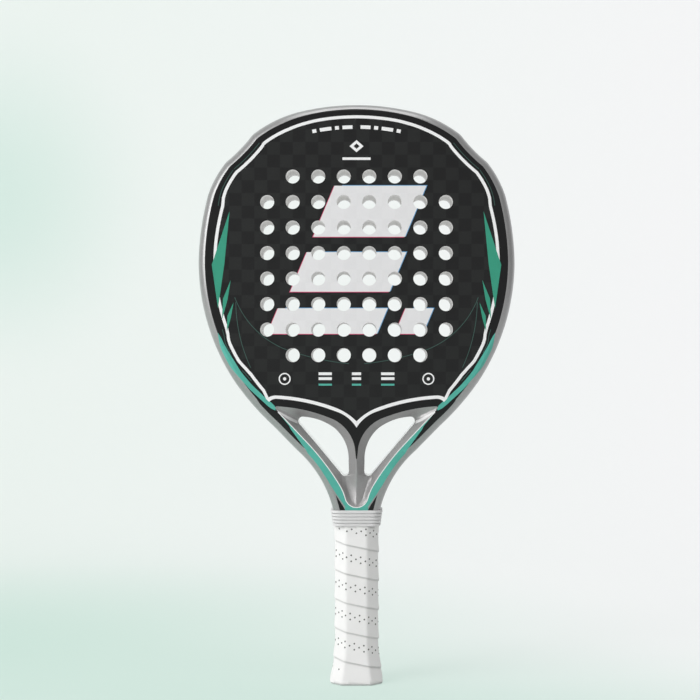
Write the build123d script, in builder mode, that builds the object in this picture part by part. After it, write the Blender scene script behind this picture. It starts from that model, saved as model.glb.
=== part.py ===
"""Padel racket: a foam-filled carbon frame tube, a moulded heart bridge, a perforated
EVA core between two carbon skins, and a padded, wrapped handle closed by a butt cap.

Millimetres. +Z runs from the butt to the crown of the head, +X to the right, and the
front skin faces -Y. The origin is the middle of the butt's bottom face.
"""
from build123d import *
from math import pi, sin, sqrt
import os

# ---------------------------------------------------------------- driving dimensions
LENGTH = 457.0             # butt to crown
HALF_WIDTH = 125.0         # widest point of the head
HEAD_DEPTH = 38.0          # frame thickness, the most that the sport's rules allow
NECK_DEPTH = 34.0          # frame thickness where the collar sits
EDGE_RADIUS = 6.2          # rounding between the frame's side and its faces
RIM_WIDTH = 14.0           # frame tube, seen from the front, round the head
WALL = 1.5                 # carbon wall of the frame tube
FOAM_BEVEL = 2.2           # corners of the foam, under the tube's rounded edges
FOAM_FROM = 150.0          # below this height the neck is solid laid-up carbon
SKIN = 1.0                 # carbon skin on each face

HOLE_DIAMETER = 11.0       # air holes through skins and core
HOLE_SIDES = 10            # each of the 60 is a polygon of the round hole's area
HOLE_PITCH = 20.0
HOLE_COLUMNS = 8
HOLE_ROWS = 8              # the top and bottom rows lack their two end holes
GRID_MIDDLE = 329.3        # height of the middle of the hole grid

WIDEST_AT = 333.0          # height of the widest point
NECK_AT = 137.2            # height where the neck enters the collar
NECK_HALF_WIDTH = 18.6
NECK_BEVEL = 5.0           # corners of the neck under the collar
TAPER_FROM = 205.0         # height where the frame starts to thin towards the neck

POCKET_DEPTH = 9.0         # how far the sculpted pockets sink to the window edges
RIDGE = 0.4                # half width of the flat left on the strut's ridge
BOWL_DEPTH = 6.0           # how far the ridge sinks in the bowl under the windows

HANDLE_WIDTH = 29.2        # bare carbon handle, across X
HANDLE_DEPTH = 25.8        # bare carbon handle, across Y
HANDLE_BEVEL = 7.2         # octagon corner, cut off along each side
HANDLE_TOP = 121.0         # where the octagon meets the neck's taper
HANDLE_BOTTOM = 4.0        # the carbon handle stops short of the cap's outer face
GRIP_TOP = 121.0           # upper end of both grip layers
BASE_GRIP = 1.8            # cushion sleeve
OVERGRIP = 0.8             # outer wrap
FLARE_FROM = 30.0          # the handle widens from here down to the butt
FLARE = 3.5                # how much wider each side is at the butt
CAP_LIP = 3.0              # bottom plate of the butt cap
CAP_TOP = 20.0             # upper end of the cap's sleeve
STAPLE_WIDTH = 8.0         # wire staples that hold the cap on the carbon handle
STAPLE_WIRE = 0.9
STAPLE_LEG = 5.0
STAPLE_SEAT = 1.4          # crown, from the bare handle's facet
STAPLE_HEIGHT = 11.0
CORD_HOLE_RADIUS = 3.5      # wrist cord, through the butt cap
KNOT_CHAMBER_RADIUS = 6.5  # room for the cord's knot above the cap
KNOT_CHAMBER_TOP = 24.0

COLLAR_BOTTOM = 124.7
COLLAR_TOP = 137.5
COLLAR_RIBS = 5
COLLAR_TOP_SIZE = (20.6, 18.9)       # half width, half depth
COLLAR_BOTTOM_SIZE = (18.9, 17.4)
COLLAR_BEVEL = 5.5
GROOVE = 0.6                         # width and depth of the grooves between ribs

half_depth = HEAD_DEPTH / 2
skin_seat = half_depth - SKIN
OUT = "parts"
os.makedirs(OUT, exist_ok=True)


# ---------------------------------------------------------------- shared outlines
# Sketches on Plane.XZ: the sketch's own Y is the racket's height.
with BuildSketch(Plane.XZ) as silhouette:
    with BuildLine():
        ThreePointArc((0, LENGTH), (23.2, 455.6), (46, 451.4))
        ThreePointArc((46, 451.4), (65.2, 444.2), (82.6, 433.2))
        ThreePointArc((82.6, 433.2), (92.2, 421.9), (103.3, 411.8))
        ThreePointArc((103.3, 411.8), (111.6, 399.3), (117.6, 385.6))
        ThreePointArc((117.6, 385.6), (122.9, 359.6), (HALF_WIDTH, WIDEST_AT))
        ThreePointArc((HALF_WIDTH, WIDEST_AT), (117.6, 283.4), (96.2, 238.1))
        ThreePointArc((96.2, 238.1), (82.0, 219.9), (65.8, 203.4))
        Line((65.8, 203.4), (47, 184.4))
        ThreePointArc((47, 184.4), (29.1, 162.9), (NECK_HALF_WIDTH, NECK_AT))
        Line((NECK_HALF_WIDTH, NECK_AT), (0, NECK_AT))
        mirror(about=Plane.YZ)
    make_face()
    notch_corners = [v for v in silhouette.vertices() if 411 < v.Y < 434]
    fillet(notch_corners, radius=12)

# the heart: everything between the two arms, down to the U above the collar
with BuildSketch(Plane.XZ) as heart:
    with BuildLine():
        Line((0, 218.5), (-64.0, 218.5))
        Line((-64.0, 218.5), (-62.4, 216.0))
        ThreePointArc((-62.4, 216.0), (-48.2, 201.3), (-34.9, 187.1))
        ThreePointArc((-34.9, 187.1), (-22.4, 171.6), (-12.2, 156.1))
        ThreePointArc((-12.2, 156.1), (-9.9, 151.0), (-8.4, 146.4))
        ThreePointArc((-8.4, 146.4), (-5.4, 141.9), (0, 140.0))
        mirror(about=Plane.YZ)
    make_face()

# inside of the frame tube: the head's interior and the heart as one region
with BuildSketch(Plane.XZ) as tube_inside:
    add(silhouette.sketch)
    offset(amount=-RIM_WIDTH, kind=Kind.TANGENT, mode=Mode.REPLACE)
    with Locations((0, 218.5 - 60)):
        Rectangle(200, 120, mode=Mode.SUBTRACT)
    add(heart.sketch)

# the bridge closes the head's oval above the windows
with BuildSketch(Plane.XZ) as below_core:
    with BuildLine():
        ThreePointArc((-100, 250), (0, 229), (100, 250))
        Line((100, 250), (100, 100))
        Line((100, 100), (-100, 100))
        Line((-100, 100), (-100, 250))
    make_face()

# one pocket of the heart and the window inside it, edge for edge
with BuildSketch(Plane.XZ.offset(half_depth)) as pocket:
    with BuildLine():
        ThreePointArc((-62.8, 216.4), (-63.6, 218.0), (-62.4, 218.9))
        ThreePointArc((-62.4, 218.9), (-42.0, 216.2), (-22.0, 210.2))
        ThreePointArc((-22.0, 210.2), (-7.8, 200.4), (-1.4, 187.0))
        Line((-1.4, 187.0), (-RIDGE, 172.0))
        Line((-RIDGE, 172.0), (-RIDGE, 140.4))
        ThreePointArc((-RIDGE, 140.4), (-5.2, 142.2), (-8.2, 146.6))
        ThreePointArc((-8.2, 146.6), (-9.7, 151.2), (-12.0, 156.2))
        ThreePointArc((-12.0, 156.2), (-22.2, 171.8), (-34.7, 187.3))
        ThreePointArc((-34.7, 187.3), (-48.1, 201.6), (-62.8, 216.4))
    make_face()

with BuildSketch(Plane.XZ.offset(half_depth - POCKET_DEPTH)) as window:
    with BuildLine():
        ThreePointArc((-45.0, 204.8), (-45.4, 209.4), (-42.0, 210.8))
        ThreePointArc((-42.0, 210.8), (-29.0, 208.1), (-17.6, 202.0))
        ThreePointArc((-17.6, 202.0), (-9.0, 190.5), (-6.3, 176.0))
        Line((-6.3, 176.0), (-6.2, 169.0))
        ThreePointArc((-6.2, 169.0), (-6.9, 166.4), (-8.8, 165.2))
        ThreePointArc((-8.8, 165.2), (-10.4, 165.2), (-11.8, 166.1))
        Line((-11.8, 166.1), (-16.1, 171.1))
        Line((-16.1, 171.1), (-31.3, 188.8))
        Line((-31.3, 188.8), (-45.0, 204.8))
    make_face()

# the carbon skin: the flat of the head, its lower edge following the two pockets
with BuildSketch(Plane.XZ) as skin_outline:
    add(silhouette.sketch)
    offset(amount=-EDGE_RADIUS, kind=Kind.TANGENT, mode=Mode.REPLACE)
    with BuildLine() as lower_edge:
        Line((0, 470), (-140, 470))
        Line((-140, 470), (-140, 205))
        Line((-140, 205), (-80, 205))
        Line((-80, 205), (-63.2, 219.2))
        ThreePointArc((-63.2, 219.2), (-42.0, 216.5), (-22.0, 210.5))
        ThreePointArc((-22.0, 210.5), (-7.8, 200.7), (-1.4, 187.3))
        Line((-1.4, 187.3), (-RIDGE, 178.0))
        Line((-RIDGE, 178.0), (0, 178.0))
        mirror(about=Plane.YZ)
    make_face(mode=Mode.INTERSECT)

hole_corner = HOLE_DIAMETER / 2 * sqrt(2 * pi / HOLE_SIDES / sin(2 * pi / HOLE_SIDES))
with BuildSketch(Plane.XZ) as air_holes:
    with Locations((0, GRID_MIDDLE)):
        with GridLocations(HOLE_PITCH, HOLE_PITCH, HOLE_COLUMNS, HOLE_ROWS - 2):
            RegularPolygon(hole_corner, HOLE_SIDES)
        with GridLocations(HOLE_PITCH, HOLE_PITCH * (HOLE_ROWS - 1), HOLE_COLUMNS - 2, 2):
            RegularPolygon(hole_corner, HOLE_SIDES)


# ---------------------------------------------------------------- shared solids
with BuildPart() as racket_body:
    # the whole frame as one block with rounded edges, thinned towards the neck
    with BuildSketch(Plane.XZ):
        add(silhouette.sketch)
    extrude(amount=half_depth, both=True)
    rim_edges = racket_body.edges().filter_by(
        lambda e: abs(e.center().Y) > half_depth - 0.1 and e.center().Z > NECK_AT + 0.1
    )
    fillet(rim_edges, radius=EDGE_RADIUS)
    with BuildSketch(Plane.YZ):
        with BuildLine():
            Line((0, LENGTH + 10), (half_depth + 1, LENGTH + 10))
            Line((half_depth + 1, LENGTH + 10), (half_depth + 1, TAPER_FROM))
            Line((half_depth + 1, TAPER_FROM), (half_depth, TAPER_FROM))
            Line((half_depth, TAPER_FROM), (NECK_DEPTH / 2, NECK_AT))
            Line((NECK_DEPTH / 2, NECK_AT), (0, NECK_AT))
            mirror(about=Plane.YZ)
        make_face()
    extrude(amount=HALF_WIDTH + 10, both=True, mode=Mode.INTERSECT)

with BuildPart() as pocket_cutter:
    # both pockets sunk into both faces, with the windows right through
    with BuildSketch(Plane.XZ.offset(half_depth)):
        add(pocket.sketch)
    with BuildSketch(Plane.XZ.offset(half_depth - POCKET_DEPTH)):
        add(window.sketch)
    loft(ruled=True)
    with BuildSketch(Plane.XZ):
        add(window.sketch)
    extrude(amount=half_depth)
    mirror(about=Plane.YZ)
    mirror(about=Plane.XZ)

with BuildPart() as bowl_cutter:
    # the bowl under the windows, where the strut's ridge sinks towards the U
    with BuildSketch(Plane.YZ):
        with BuildLine():
            Line((-half_depth - 1, 178), (-half_depth, 178))
            ThreePointArc((-half_depth, 178), (-15.4, 162), (BOWL_DEPTH - half_depth, 149))
            ThreePointArc((BOWL_DEPTH - half_depth, 149), (-13.6, 143), (-16.4, 140.0))
            Line((-16.4, 140.0), (-half_depth - 1, 140.0))
            Line((-half_depth - 1, 140.0), (-half_depth - 1, 178))
        make_face()
    extrude(amount=40, both=True)
    with BuildSketch(Plane.XZ):
        add(heart.sketch)
    extrude(amount=half_depth + 1, mode=Mode.INTERSECT)
    mirror(about=Plane.XZ)


bevel_growth = 2 - sqrt(2)   # how a 45 degree corner grows when all sides move out


def handle_profile(height, grow):
    """The handle's octagon at one height, each side moved out by grow."""
    with BuildSketch(Plane.XY.offset(height)) as octagon:
        Rectangle(HANDLE_WIDTH + 2 * grow, HANDLE_DEPTH + 2 * grow)
        chamfer(octagon.vertices(), HANDLE_BEVEL + grow * bevel_growth)
    return octagon.sketch


def handle_solid(grow, top):
    """The handle from the cap's lip up to a height, with the flare at the butt."""
    with BuildPart() as shape:
        for height, wider in ((CAP_LIP, FLARE), (FLARE_FROM / 2, 0.4 * FLARE), (FLARE_FROM, 0)):
            add(handle_profile(height, grow + wider))
        loft(ruled=True)
        if top > FLARE_FROM:
            add(handle_profile(FLARE_FROM, grow))
            extrude(amount=top - FLARE_FROM)
        else:
            split(bisect_by=Plane.XY.offset(top), keep=Keep.BOTTOM)
    return shape.part


with BuildPart() as neck_and_handle:
    # from the frame's section under the collar to the octagon, and down to the cap
    with BuildSketch(Plane.XY.offset(NECK_AT)) as neck_section:
        Rectangle(2 * NECK_HALF_WIDTH, NECK_DEPTH)
        chamfer(neck_section.vertices(), NECK_BEVEL)
    add(handle_profile(HANDLE_TOP, 0))
    loft(ruled=True)
    add(handle_profile(HANDLE_TOP, 0))
    extrude(amount=HANDLE_BOTTOM - HANDLE_TOP)

with BuildPart() as knot_chamber:
    # hollow above the cap where the wrist cord's knot sits
    with Locations((0, 0, HANDLE_BOTTOM)):
        Cylinder(KNOT_CHAMBER_RADIUS, KNOT_CHAMBER_TOP - HANDLE_BOTTOM,
                 align=(Align.CENTER, Align.CENTER, Align.MIN))

with BuildPart() as butt_staples:
    # two wire staples through the cap's front and back facets into the handle
    crown_at = HANDLE_DEPTH / 2 + STAPLE_SEAT
    for side in (-1, 1):
        with Locations((0, side * crown_at, STAPLE_HEIGHT)):
            Box(STAPLE_WIDTH, STAPLE_WIRE, STAPLE_WIRE)
        leg_middle = crown_at - STAPLE_LEG / 2
        for end in (-1, 1):
            with Locations((end * (STAPLE_WIDTH - STAPLE_WIRE) / 2, side * leg_middle, STAPLE_HEIGHT)):
                Box(STAPLE_WIRE, STAPLE_LEG, STAPLE_WIRE)
butt_staples.part.label = "butt_staples"

with BuildPart() as filling:
    # what fits inside the two legs of the handle
    add(handle_profile(HANDLE_BOTTOM, -WALL))
    extrude(amount=HANDLE_TOP - HANDLE_BOTTOM)
    with Locations((0, 0, HANDLE_TOP / 2)):
        Box(2 * WALL, HANDLE_DEPTH, HANDLE_TOP + 2, mode=Mode.SUBTRACT)
handle_filling = filling.part


# ---------------------------------------------------------------- frame
with BuildSketch(Plane.XZ) as tube_wall_line:
    add(tube_inside.sketch)
    offset(amount=WALL, kind=Kind.ARC, mode=Mode.REPLACE)

foam_half_depth = skin_seat - WALL
with BuildPart() as frame_foam:
    # polyurethane foam that fills the tube round the head and down the arms
    with BuildSketch(Plane.XZ):
        add(silhouette.sketch)
        offset(amount=-WALL, kind=Kind.TANGENT, mode=Mode.REPLACE)
    extrude(amount=foam_half_depth, both=True)
    foam_edges = frame_foam.edges().filter_by(
        lambda e: abs(e.center().Y) > foam_half_depth - 0.1 and e.center().Z > NECK_AT + 2 * WALL
    )
    chamfer(foam_edges, length=FOAM_BEVEL)
    with BuildSketch(Plane.XZ):
        add(tube_wall_line.sketch)
    extrude(amount=half_depth, both=True, mode=Mode.SUBTRACT)
    split(bisect_by=Plane.XY.offset(FOAM_FROM), keep=Keep.TOP)
frame_foam.part.label = "frame_foam"

with BuildPart() as frame_tube:
    # carbon tube: round the head, down both arms and together into the handle
    add(racket_body.part)
    with BuildSketch(Plane.XZ):
        add(tube_inside.sketch)
    extrude(amount=half_depth + 1, both=True, mode=Mode.SUBTRACT)
    for side in (1, -1):
        with BuildSketch(Plane.XZ.offset(side * skin_seat)):
            add(skin_outline.sketch)
        extrude(amount=side * (SKIN + 1), mode=Mode.SUBTRACT)
    add(frame_foam.part, mode=Mode.SUBTRACT)
    # the two tube legs lie side by side in the handle, each with its own cavity
    add(neck_and_handle.part)
    add(handle_filling, mode=Mode.SUBTRACT)
    add(knot_chamber.part, mode=Mode.SUBTRACT)
    add(butt_staples.part, mode=Mode.SUBTRACT)
frame_tube.part.label = "frame_tube"

with BuildPart() as throat_bridge:
    # moulded heart between the arms: closes the oval, carries strut, windows and bowl
    with BuildSketch(Plane.XZ):
        add(tube_inside.sketch)
        add(below_core.sketch, mode=Mode.INTERSECT)
    extrude(amount=half_depth + 1, both=True)
    add(racket_body.part, mode=Mode.INTERSECT)
    add(pocket_cutter.part, mode=Mode.SUBTRACT)
    add(bowl_cutter.part, mode=Mode.SUBTRACT)
    for side in (1, -1):
        with BuildSketch(Plane.XZ.offset(side * skin_seat)):
            add(skin_outline.sketch)
        extrude(amount=side * (SKIN + 1), mode=Mode.SUBTRACT)
throat_bridge.part.label = "throat_bridge"


# ---------------------------------------------------------------- hitting surface
with BuildPart() as eva_core:
    # slab of EVA foam that fills the head, drilled with the air holes
    with BuildSketch(Plane.XZ):
        add(tube_inside.sketch)
        add(below_core.sketch, mode=Mode.SUBTRACT)
        add(air_holes.sketch, mode=Mode.SUBTRACT)
    extrude(amount=skin_seat, both=True)
eva_core.part.label = "eva_core"

with BuildPart() as face_front:
    # carbon skin bonded over core, tube and bridge
    with BuildSketch(Plane.XZ.offset(skin_seat)):
        add(skin_outline.sketch)
        add(air_holes.sketch, mode=Mode.SUBTRACT)
    extrude(amount=SKIN)
face_front.part.label = "face_front"

with BuildPart() as face_back:
    add(face_front.part)
    mirror(about=Plane.XZ, mode=Mode.REPLACE)
face_back.part.label = "face_back"


# ---------------------------------------------------------------- handle
with BuildPart() as handle_foam:
    # rigid foam in each leg of the handle, clear of the knot chamber
    add(handle_filling)
    add(knot_chamber.part, mode=Mode.SUBTRACT)
    add(butt_staples.part, mode=Mode.SUBTRACT)
handle_foam.part.label = "handle_foam"

with BuildPart() as butt_cap:
    # moulded cap: a flared sleeve round the handle's end with a domed bottom plate
    add(handle_solid(0, CAP_TOP))
    add(handle_profile(0, FLARE + BASE_GRIP + OVERGRIP))
    extrude(amount=CAP_LIP)
    bottom_edges = butt_cap.faces().sort_by(Axis.Z)[0].edges()
    chamfer(bottom_edges, length=1.2)
    add(handle_profile(HANDLE_BOTTOM, 0))
    extrude(amount=CAP_TOP - HANDLE_BOTTOM + 1, mode=Mode.SUBTRACT)
    with Locations((0, 0, 0)):
        Cylinder(CORD_HOLE_RADIUS, 3 * HANDLE_BOTTOM, mode=Mode.SUBTRACT)
    add(butt_staples.part, mode=Mode.SUBTRACT)
butt_cap.part.label = "butt_cap"

with BuildPart() as base_grip:
    # cushioned polyurethane sleeve on the carbon handle and the cap's flare
    add(handle_solid(BASE_GRIP, GRIP_TOP))
    add(handle_solid(0, GRIP_TOP), mode=Mode.SUBTRACT)
base_grip.part.label = "base_grip"

with BuildPart() as overgrip:
    # outer wrap, as a plain sleeve
    add(handle_solid(BASE_GRIP + OVERGRIP, GRIP_TOP))
    add(handle_solid(BASE_GRIP, GRIP_TOP), mode=Mode.SUBTRACT)
overgrip.part.label = "overgrip"

def collar_section(height, half_width, half_thickness):
    """The collar's bevelled rectangle at one height."""
    with BuildSketch(Plane.XY.offset(height)) as section:
        Rectangle(2 * half_width, 2 * half_thickness)
        chamfer(section.vertices(), COLLAR_BEVEL)
    return section.sketch


with BuildPart() as finishing_tape:
    # tape wound over the top of the grip, hidden by the collar
    add(handle_profile(GRIP_TOP, BASE_GRIP + OVERGRIP))
    extrude(amount=COLLAR_BOTTOM + 1 - GRIP_TOP)
    add(neck_and_handle.part, mode=Mode.SUBTRACT)
finishing_tape.part.label = "finishing_tape"

with BuildPart() as collar:
    # ribbed rubber ring stretched over the joint between grip and neck
    add(collar_section(COLLAR_BOTTOM, *COLLAR_BOTTOM_SIZE))
    add(collar_section(COLLAR_TOP, *COLLAR_TOP_SIZE))
    loft(ruled=True)
    for rib in range(1, COLLAR_RIBS):
        share = rib / COLLAR_RIBS
        groove_width, groove_depth = (
            low + share * (high - low) - GROOVE
            for low, high in zip(COLLAR_BOTTOM_SIZE, COLLAR_TOP_SIZE)
        )
        groove_at = COLLAR_BOTTOM + share * (COLLAR_TOP - COLLAR_BOTTOM)
        with BuildSketch(Plane.XY.offset(groove_at)):
            Rectangle(4 * groove_width, 4 * groove_depth)
            add(collar_section(groove_at, groove_width, groove_depth), mode=Mode.SUBTRACT)
        extrude(amount=GROOVE / 2, both=True, mode=Mode.SUBTRACT)
    add(neck_and_handle.part, mode=Mode.SUBTRACT)
    add(racket_body.part, mode=Mode.SUBTRACT)
    add(finishing_tape.part, mode=Mode.SUBTRACT)
collar.part.label = "collar"


# ---------------------------------------------------------------- files
pieces = (
    frame_tube, frame_foam, throat_bridge, eva_core, face_front, face_back, handle_foam,
    butt_cap, butt_staples, base_grip, overgrip, finishing_tape, collar,
)
for piece in pieces:
    export_step(piece.part, f"{OUT}/{piece.part.label}.step")
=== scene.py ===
"""Padel racket dressed for display: a lacquered carbon frame with a sculpted heart, two
printed carbon faces on a drilled foam core, and a wrapped handle under a ribbed collar.

Outlines are in millimetres, x to the right and z up. Meshes are made in metres.
"""

import math

import bmesh
import bpy
import numpy as np
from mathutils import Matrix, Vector
from mathutils.geometry import delaunay_2d_cdt


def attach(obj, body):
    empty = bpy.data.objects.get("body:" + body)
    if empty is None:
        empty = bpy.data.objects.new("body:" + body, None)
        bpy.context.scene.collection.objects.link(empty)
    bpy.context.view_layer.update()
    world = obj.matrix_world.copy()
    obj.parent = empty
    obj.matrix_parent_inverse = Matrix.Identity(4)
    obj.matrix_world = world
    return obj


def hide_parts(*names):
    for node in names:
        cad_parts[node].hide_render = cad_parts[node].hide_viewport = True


bl_info = {
    "name": "Padel Racket",
    "version": (1, 0, 0),
    "blender": (4, 5, 0),
    "location": "View3D > Sidebar > Racket",
    "description": "Builds a padel racket piece by piece over its packed frame",
    "category": "Add Mesh",
}

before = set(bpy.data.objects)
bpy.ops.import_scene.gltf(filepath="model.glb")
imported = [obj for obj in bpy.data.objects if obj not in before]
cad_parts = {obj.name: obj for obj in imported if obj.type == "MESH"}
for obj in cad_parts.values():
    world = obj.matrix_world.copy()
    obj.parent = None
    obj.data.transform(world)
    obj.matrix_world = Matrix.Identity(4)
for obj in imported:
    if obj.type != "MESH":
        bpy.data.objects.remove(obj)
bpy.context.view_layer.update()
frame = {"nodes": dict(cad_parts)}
MM = 0.001


# ------------------------------------------------------------------ flat geometry
def arc(start, via, end, step):
    """Points on the circle through three points, without the last one."""
    (ax, az), (bx, bz), (cx, cz) = start, via, end
    turn = 2 * (ax * (bz - cz) + bx * (cz - az) + cx * (az - bz))
    a2, b2, c2 = ax * ax + az * az, bx * bx + bz * bz, cx * cx + cz * cz
    ox = (a2 * (bz - cz) + b2 * (cz - az) + c2 * (az - bz)) / turn
    oz = (a2 * (cx - bx) + b2 * (ax - cx) + c2 * (bx - ax)) / turn
    radius = math.dist(start, (ox, oz))
    first = math.atan2(az - oz, ax - ox)
    middle = (math.atan2(bz - oz, bx - ox) - first) % math.tau
    sweep = (math.atan2(cz - oz, cx - ox) - first) % math.tau
    if middle > sweep:
        sweep -= math.tau
    count = max(2, math.ceil(abs(sweep) * radius / step))
    angles = [first + sweep * i / count for i in range(count)]
    return [(ox + radius * math.cos(a), oz + radius * math.sin(a)) for a in angles]


def trace(start, *legs, step=1.6):
    """Points along lines, given by their end, and arcs, given by a middle and an end."""
    points = []
    for leg in legs:
        if len(leg) == 2:
            points += arc(start, *leg, step)
        else:
            count = max(1, math.ceil(math.dist(start, leg[0]) / (2 * step)))
            for i in range(count):
                points.append(tuple(a + (b - a) * i / count for a, b in zip(start, leg[0])))
        start = leg[-1]
    return points + [start]


def flip(points):
    """The mirror image of a chain, run backwards."""
    return [(-x, z) for x, z in reversed(points)]


def both(loop):
    """A loop and its mirror image."""
    return loop, flip(loop)


def loop_of(right):
    """A closed loop from its right half, which runs from the bottom to the top."""
    loop = right + flip(right)
    return [p for i, p in enumerate(loop) if math.dist(p, loop[i - 1]) > 1e-6]


def circle(x, z, radius, count=44):
    """A round loop."""
    angles = [math.tau * i / count for i in range(count)]
    return [(x + radius * math.cos(a), z + radius * math.sin(a)) for a in angles]


def unit(vectors):
    """Each vector, made one long."""
    return vectors / np.linalg.norm(vectors, axis=-1, keepdims=True)


def smooth(share):
    """Rises from 0 to 1 with the share and levels out at both ends."""
    share = np.clip(share, 0, 1)
    return share * share * (3 - 2 * share)


def batches(points, size):
    """The points in parts of about one size, to keep the tables made from them small."""
    return np.array_split(points, len(points) // size + 1)


def inside(points, *loops):
    """Whether each point lies within an odd number of loops."""
    odd = np.zeros(len(points), bool)
    for loop in loops:
        a = np.array(loop)
        b = np.roll(a, -1, axis=0)
        near = np.flatnonzero(((points > a.min(0)) & (points < a.max(0))).all(1))
        for part in batches(near, 3000):
            x, z = points[part, 0, None], points[part, 1, None]
            crosses = (a[:, 1] > z) != (b[:, 1] > z)
            rise = np.where(b[:, 1] == a[:, 1], 1, b[:, 1] - a[:, 1])
            at = a[:, 0] + (z - a[:, 1]) * (b[:, 0] - a[:, 0]) / rise
            odd[part] ^= (crosses & (x < at)).sum(1) % 2 == 1
    return odd


class Outline:
    """A chain of short steps that tells how far a point is from it."""

    def __init__(self, points, closed=True):
        starts = np.array(points)
        ends = np.roll(starts, -1, axis=0)
        if not closed:
            starts, ends = starts[:-1], ends[:-1]
        self.starts, self.steps = starts, ends - starts
        self.squares = (self.steps ** 2).sum(1)
        left = np.stack([-self.steps[:, 1], self.steps[:, 0]], 1) / np.sqrt(self.squares)[:, None]
        before, after = np.roll(left, 1, axis=0), np.roll(left, -1, axis=0)
        if not closed:
            before[0], after[-1] = left[0], left[-1]
        self.first_left, self.last_left = before + left, left + after

    def measure(self, points):
        """Distance from the chain, and the direction to its left side there."""
        gaps, sides = [], []
        for part in batches(points, 400):
            away = part[:, None] - self.starts
            share = np.clip((away * self.steps).sum(2) / self.squares, 0, 1)
            away -= share[..., None] * self.steps
            squares = (away ** 2).sum(2)
            nearest = squares.argmin(1)
            rows = np.arange(len(part))
            along = share[rows, nearest, None]
            side = self.first_left[nearest] * (1 - along) + self.last_left[nearest] * along
            gaps.append(np.sqrt(squares[rows, nearest]))
            sides.append(unit(side))
        return np.concatenate(gaps), np.concatenate(sides)

    def beside(self, distance):
        """The chain's own corners, moved to the left by one distance or one each."""
        side = unit(self.first_left)
        return [tuple(p) for p in self.starts + side * np.reshape(distance, (-1, 1))]


# ------------------------------------------------------------------ outlines
CROWN, SHOULDER_AT, NECK_AT = 457.0, 205.0, 137.2
HALF_DEPTH, SKIN, NECK_THINNING = 19.0, 1.0, 2.0
SEAT = HALF_DEPTH - SKIN    # where the skins lie, from the middle plane
WINDOW_EDGE = 10.0          # distance of the window edges from the middle plane
RIM_RADIUS, ARM_RADIUS = 6.2, 4.6
ARM_TOP, ARM_BLEND = 215, 45            # height of the arms' top, and length of the change
# the frame's section: with 2 and 2 it would be an ellipse. A smaller first power gives it
# a crease at the face, a larger second one a fuller wall
CREASE_POWER, WALL_POWER, ARM_WALL_POWER = 1.25, 4.5, 7.0

silhouette = loop_of(flip(trace(
    (0, 457),
    ((-23.2, 455.6), (-46, 451.4)),
    ((-64.5, 444.6), (-81.25, 434.25)),
    ((-82.46, 433.19), (-83.52, 431.98)),
    ((-92.35, 421.75), (-102.29, 412.62)),
    ((-103.3, 411.68), (-104.2, 410.64)),
    ((-111.94, 398.67), (-117.6, 385.6)),
    ((-122.9, 359.5), (-125, 333)),
    ((-117.6, 283.4), (-96.2, 238.1)),
    ((-82, 219.9), (-65.8, 203.4)),
    ((-47, 184.4),),
    ((-29.15, 163), (-18.6, NECK_AT)),
)))
rim = Outline(silhouette, closed=False)

bow = trace(
    (0.4, 178), ((1.4, 187.3),), ((8.6, 201.65), (22, 210.5)), ((42.25, 216.55), (63.2, 219.2)),
)
heart_right = trace(
    (0, 140), ((5.4, 141.9), (8.4, 146.4)), ((9.9, 151), (12.2, 156.1)),
    ((22.4, 171.6), (34.9, 187.1)), ((48.2, 201.3), (62.4, 216)),
)
tube_right = heart_right + trace(
    (64, 218.5), ((61.4, 218.5),), ((73.67, 231.68), (84.62, 245.97)),
    ((104.2, 287.5), (111, 332.9)), ((109.07, 357.4), (104.2, 381.5)),
    ((99.54, 392.2), (93.25, 401.9)), ((82.3, 412), (72.57, 423.25)),
    ((58.3, 432), (42.54, 437.83)), ((21.4, 441.7), (0, 443)),
)
window_right = trace(
    (45, 204.8), ((31.3, 188.8),), ((11.9, 165.4),), ((10.4, 164.3), (8.6, 164.3)),
    ((6.7, 165.6), (6.1, 168.6)), ((6.3, 176),), ((9, 190.5), (17.6, 202)),
    ((29, 208.1), (42, 210.8)), ((45.4, 209.4), (45, 204.8)), step=0.9,
)[:-1]
strut_edge = trace((0.4, 178), ((0.4, 140.1),), step=0.7)[:-1]
pocket_right = [(0.4, 140.1)] + heart_right[1:] + bow[:0:-1] + strut_edge
core_line = trace((-82.61, 243.13), ((0, 229), (82.61, 243.13)))
CORE_CORNER = 243.15        # the core meets the tube above this height, the heart below it

# the lip parts the arm's facet from the bowl: it rises from the window's lower corner to
# the heart's edge, and the bowl's edge follows the heart from there down
LIP_LOW, LIP_TOP = 151.2, 165.4
lip_right = [p for p in heart_right if p[1] < LIP_LOW - 0.8] + trace(
    (9.75, LIP_LOW), ((11.3, 156.3), (11.9, LIP_TOP)), step=0.9)
bowl_right = lip_right + [(9.0, 164.9), (6.4, 168.6), (0, 171)]

tube_loop = loop_of(tube_right)
heart_outline = Outline(heart_right, closed=False)
pocket_outline = Outline(pocket_right)
window_outline = Outline(window_right)
lip_line = Outline(lip_right, closed=False)

rim_inner = [p for p in rim.beside(RIM_RADIUS) if p[1] > 214.5 and p[0] > 0.01]
skin_loop = loop_of(bow + rim_inner + [(0, CROWN - RIM_RADIUS)])

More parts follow.
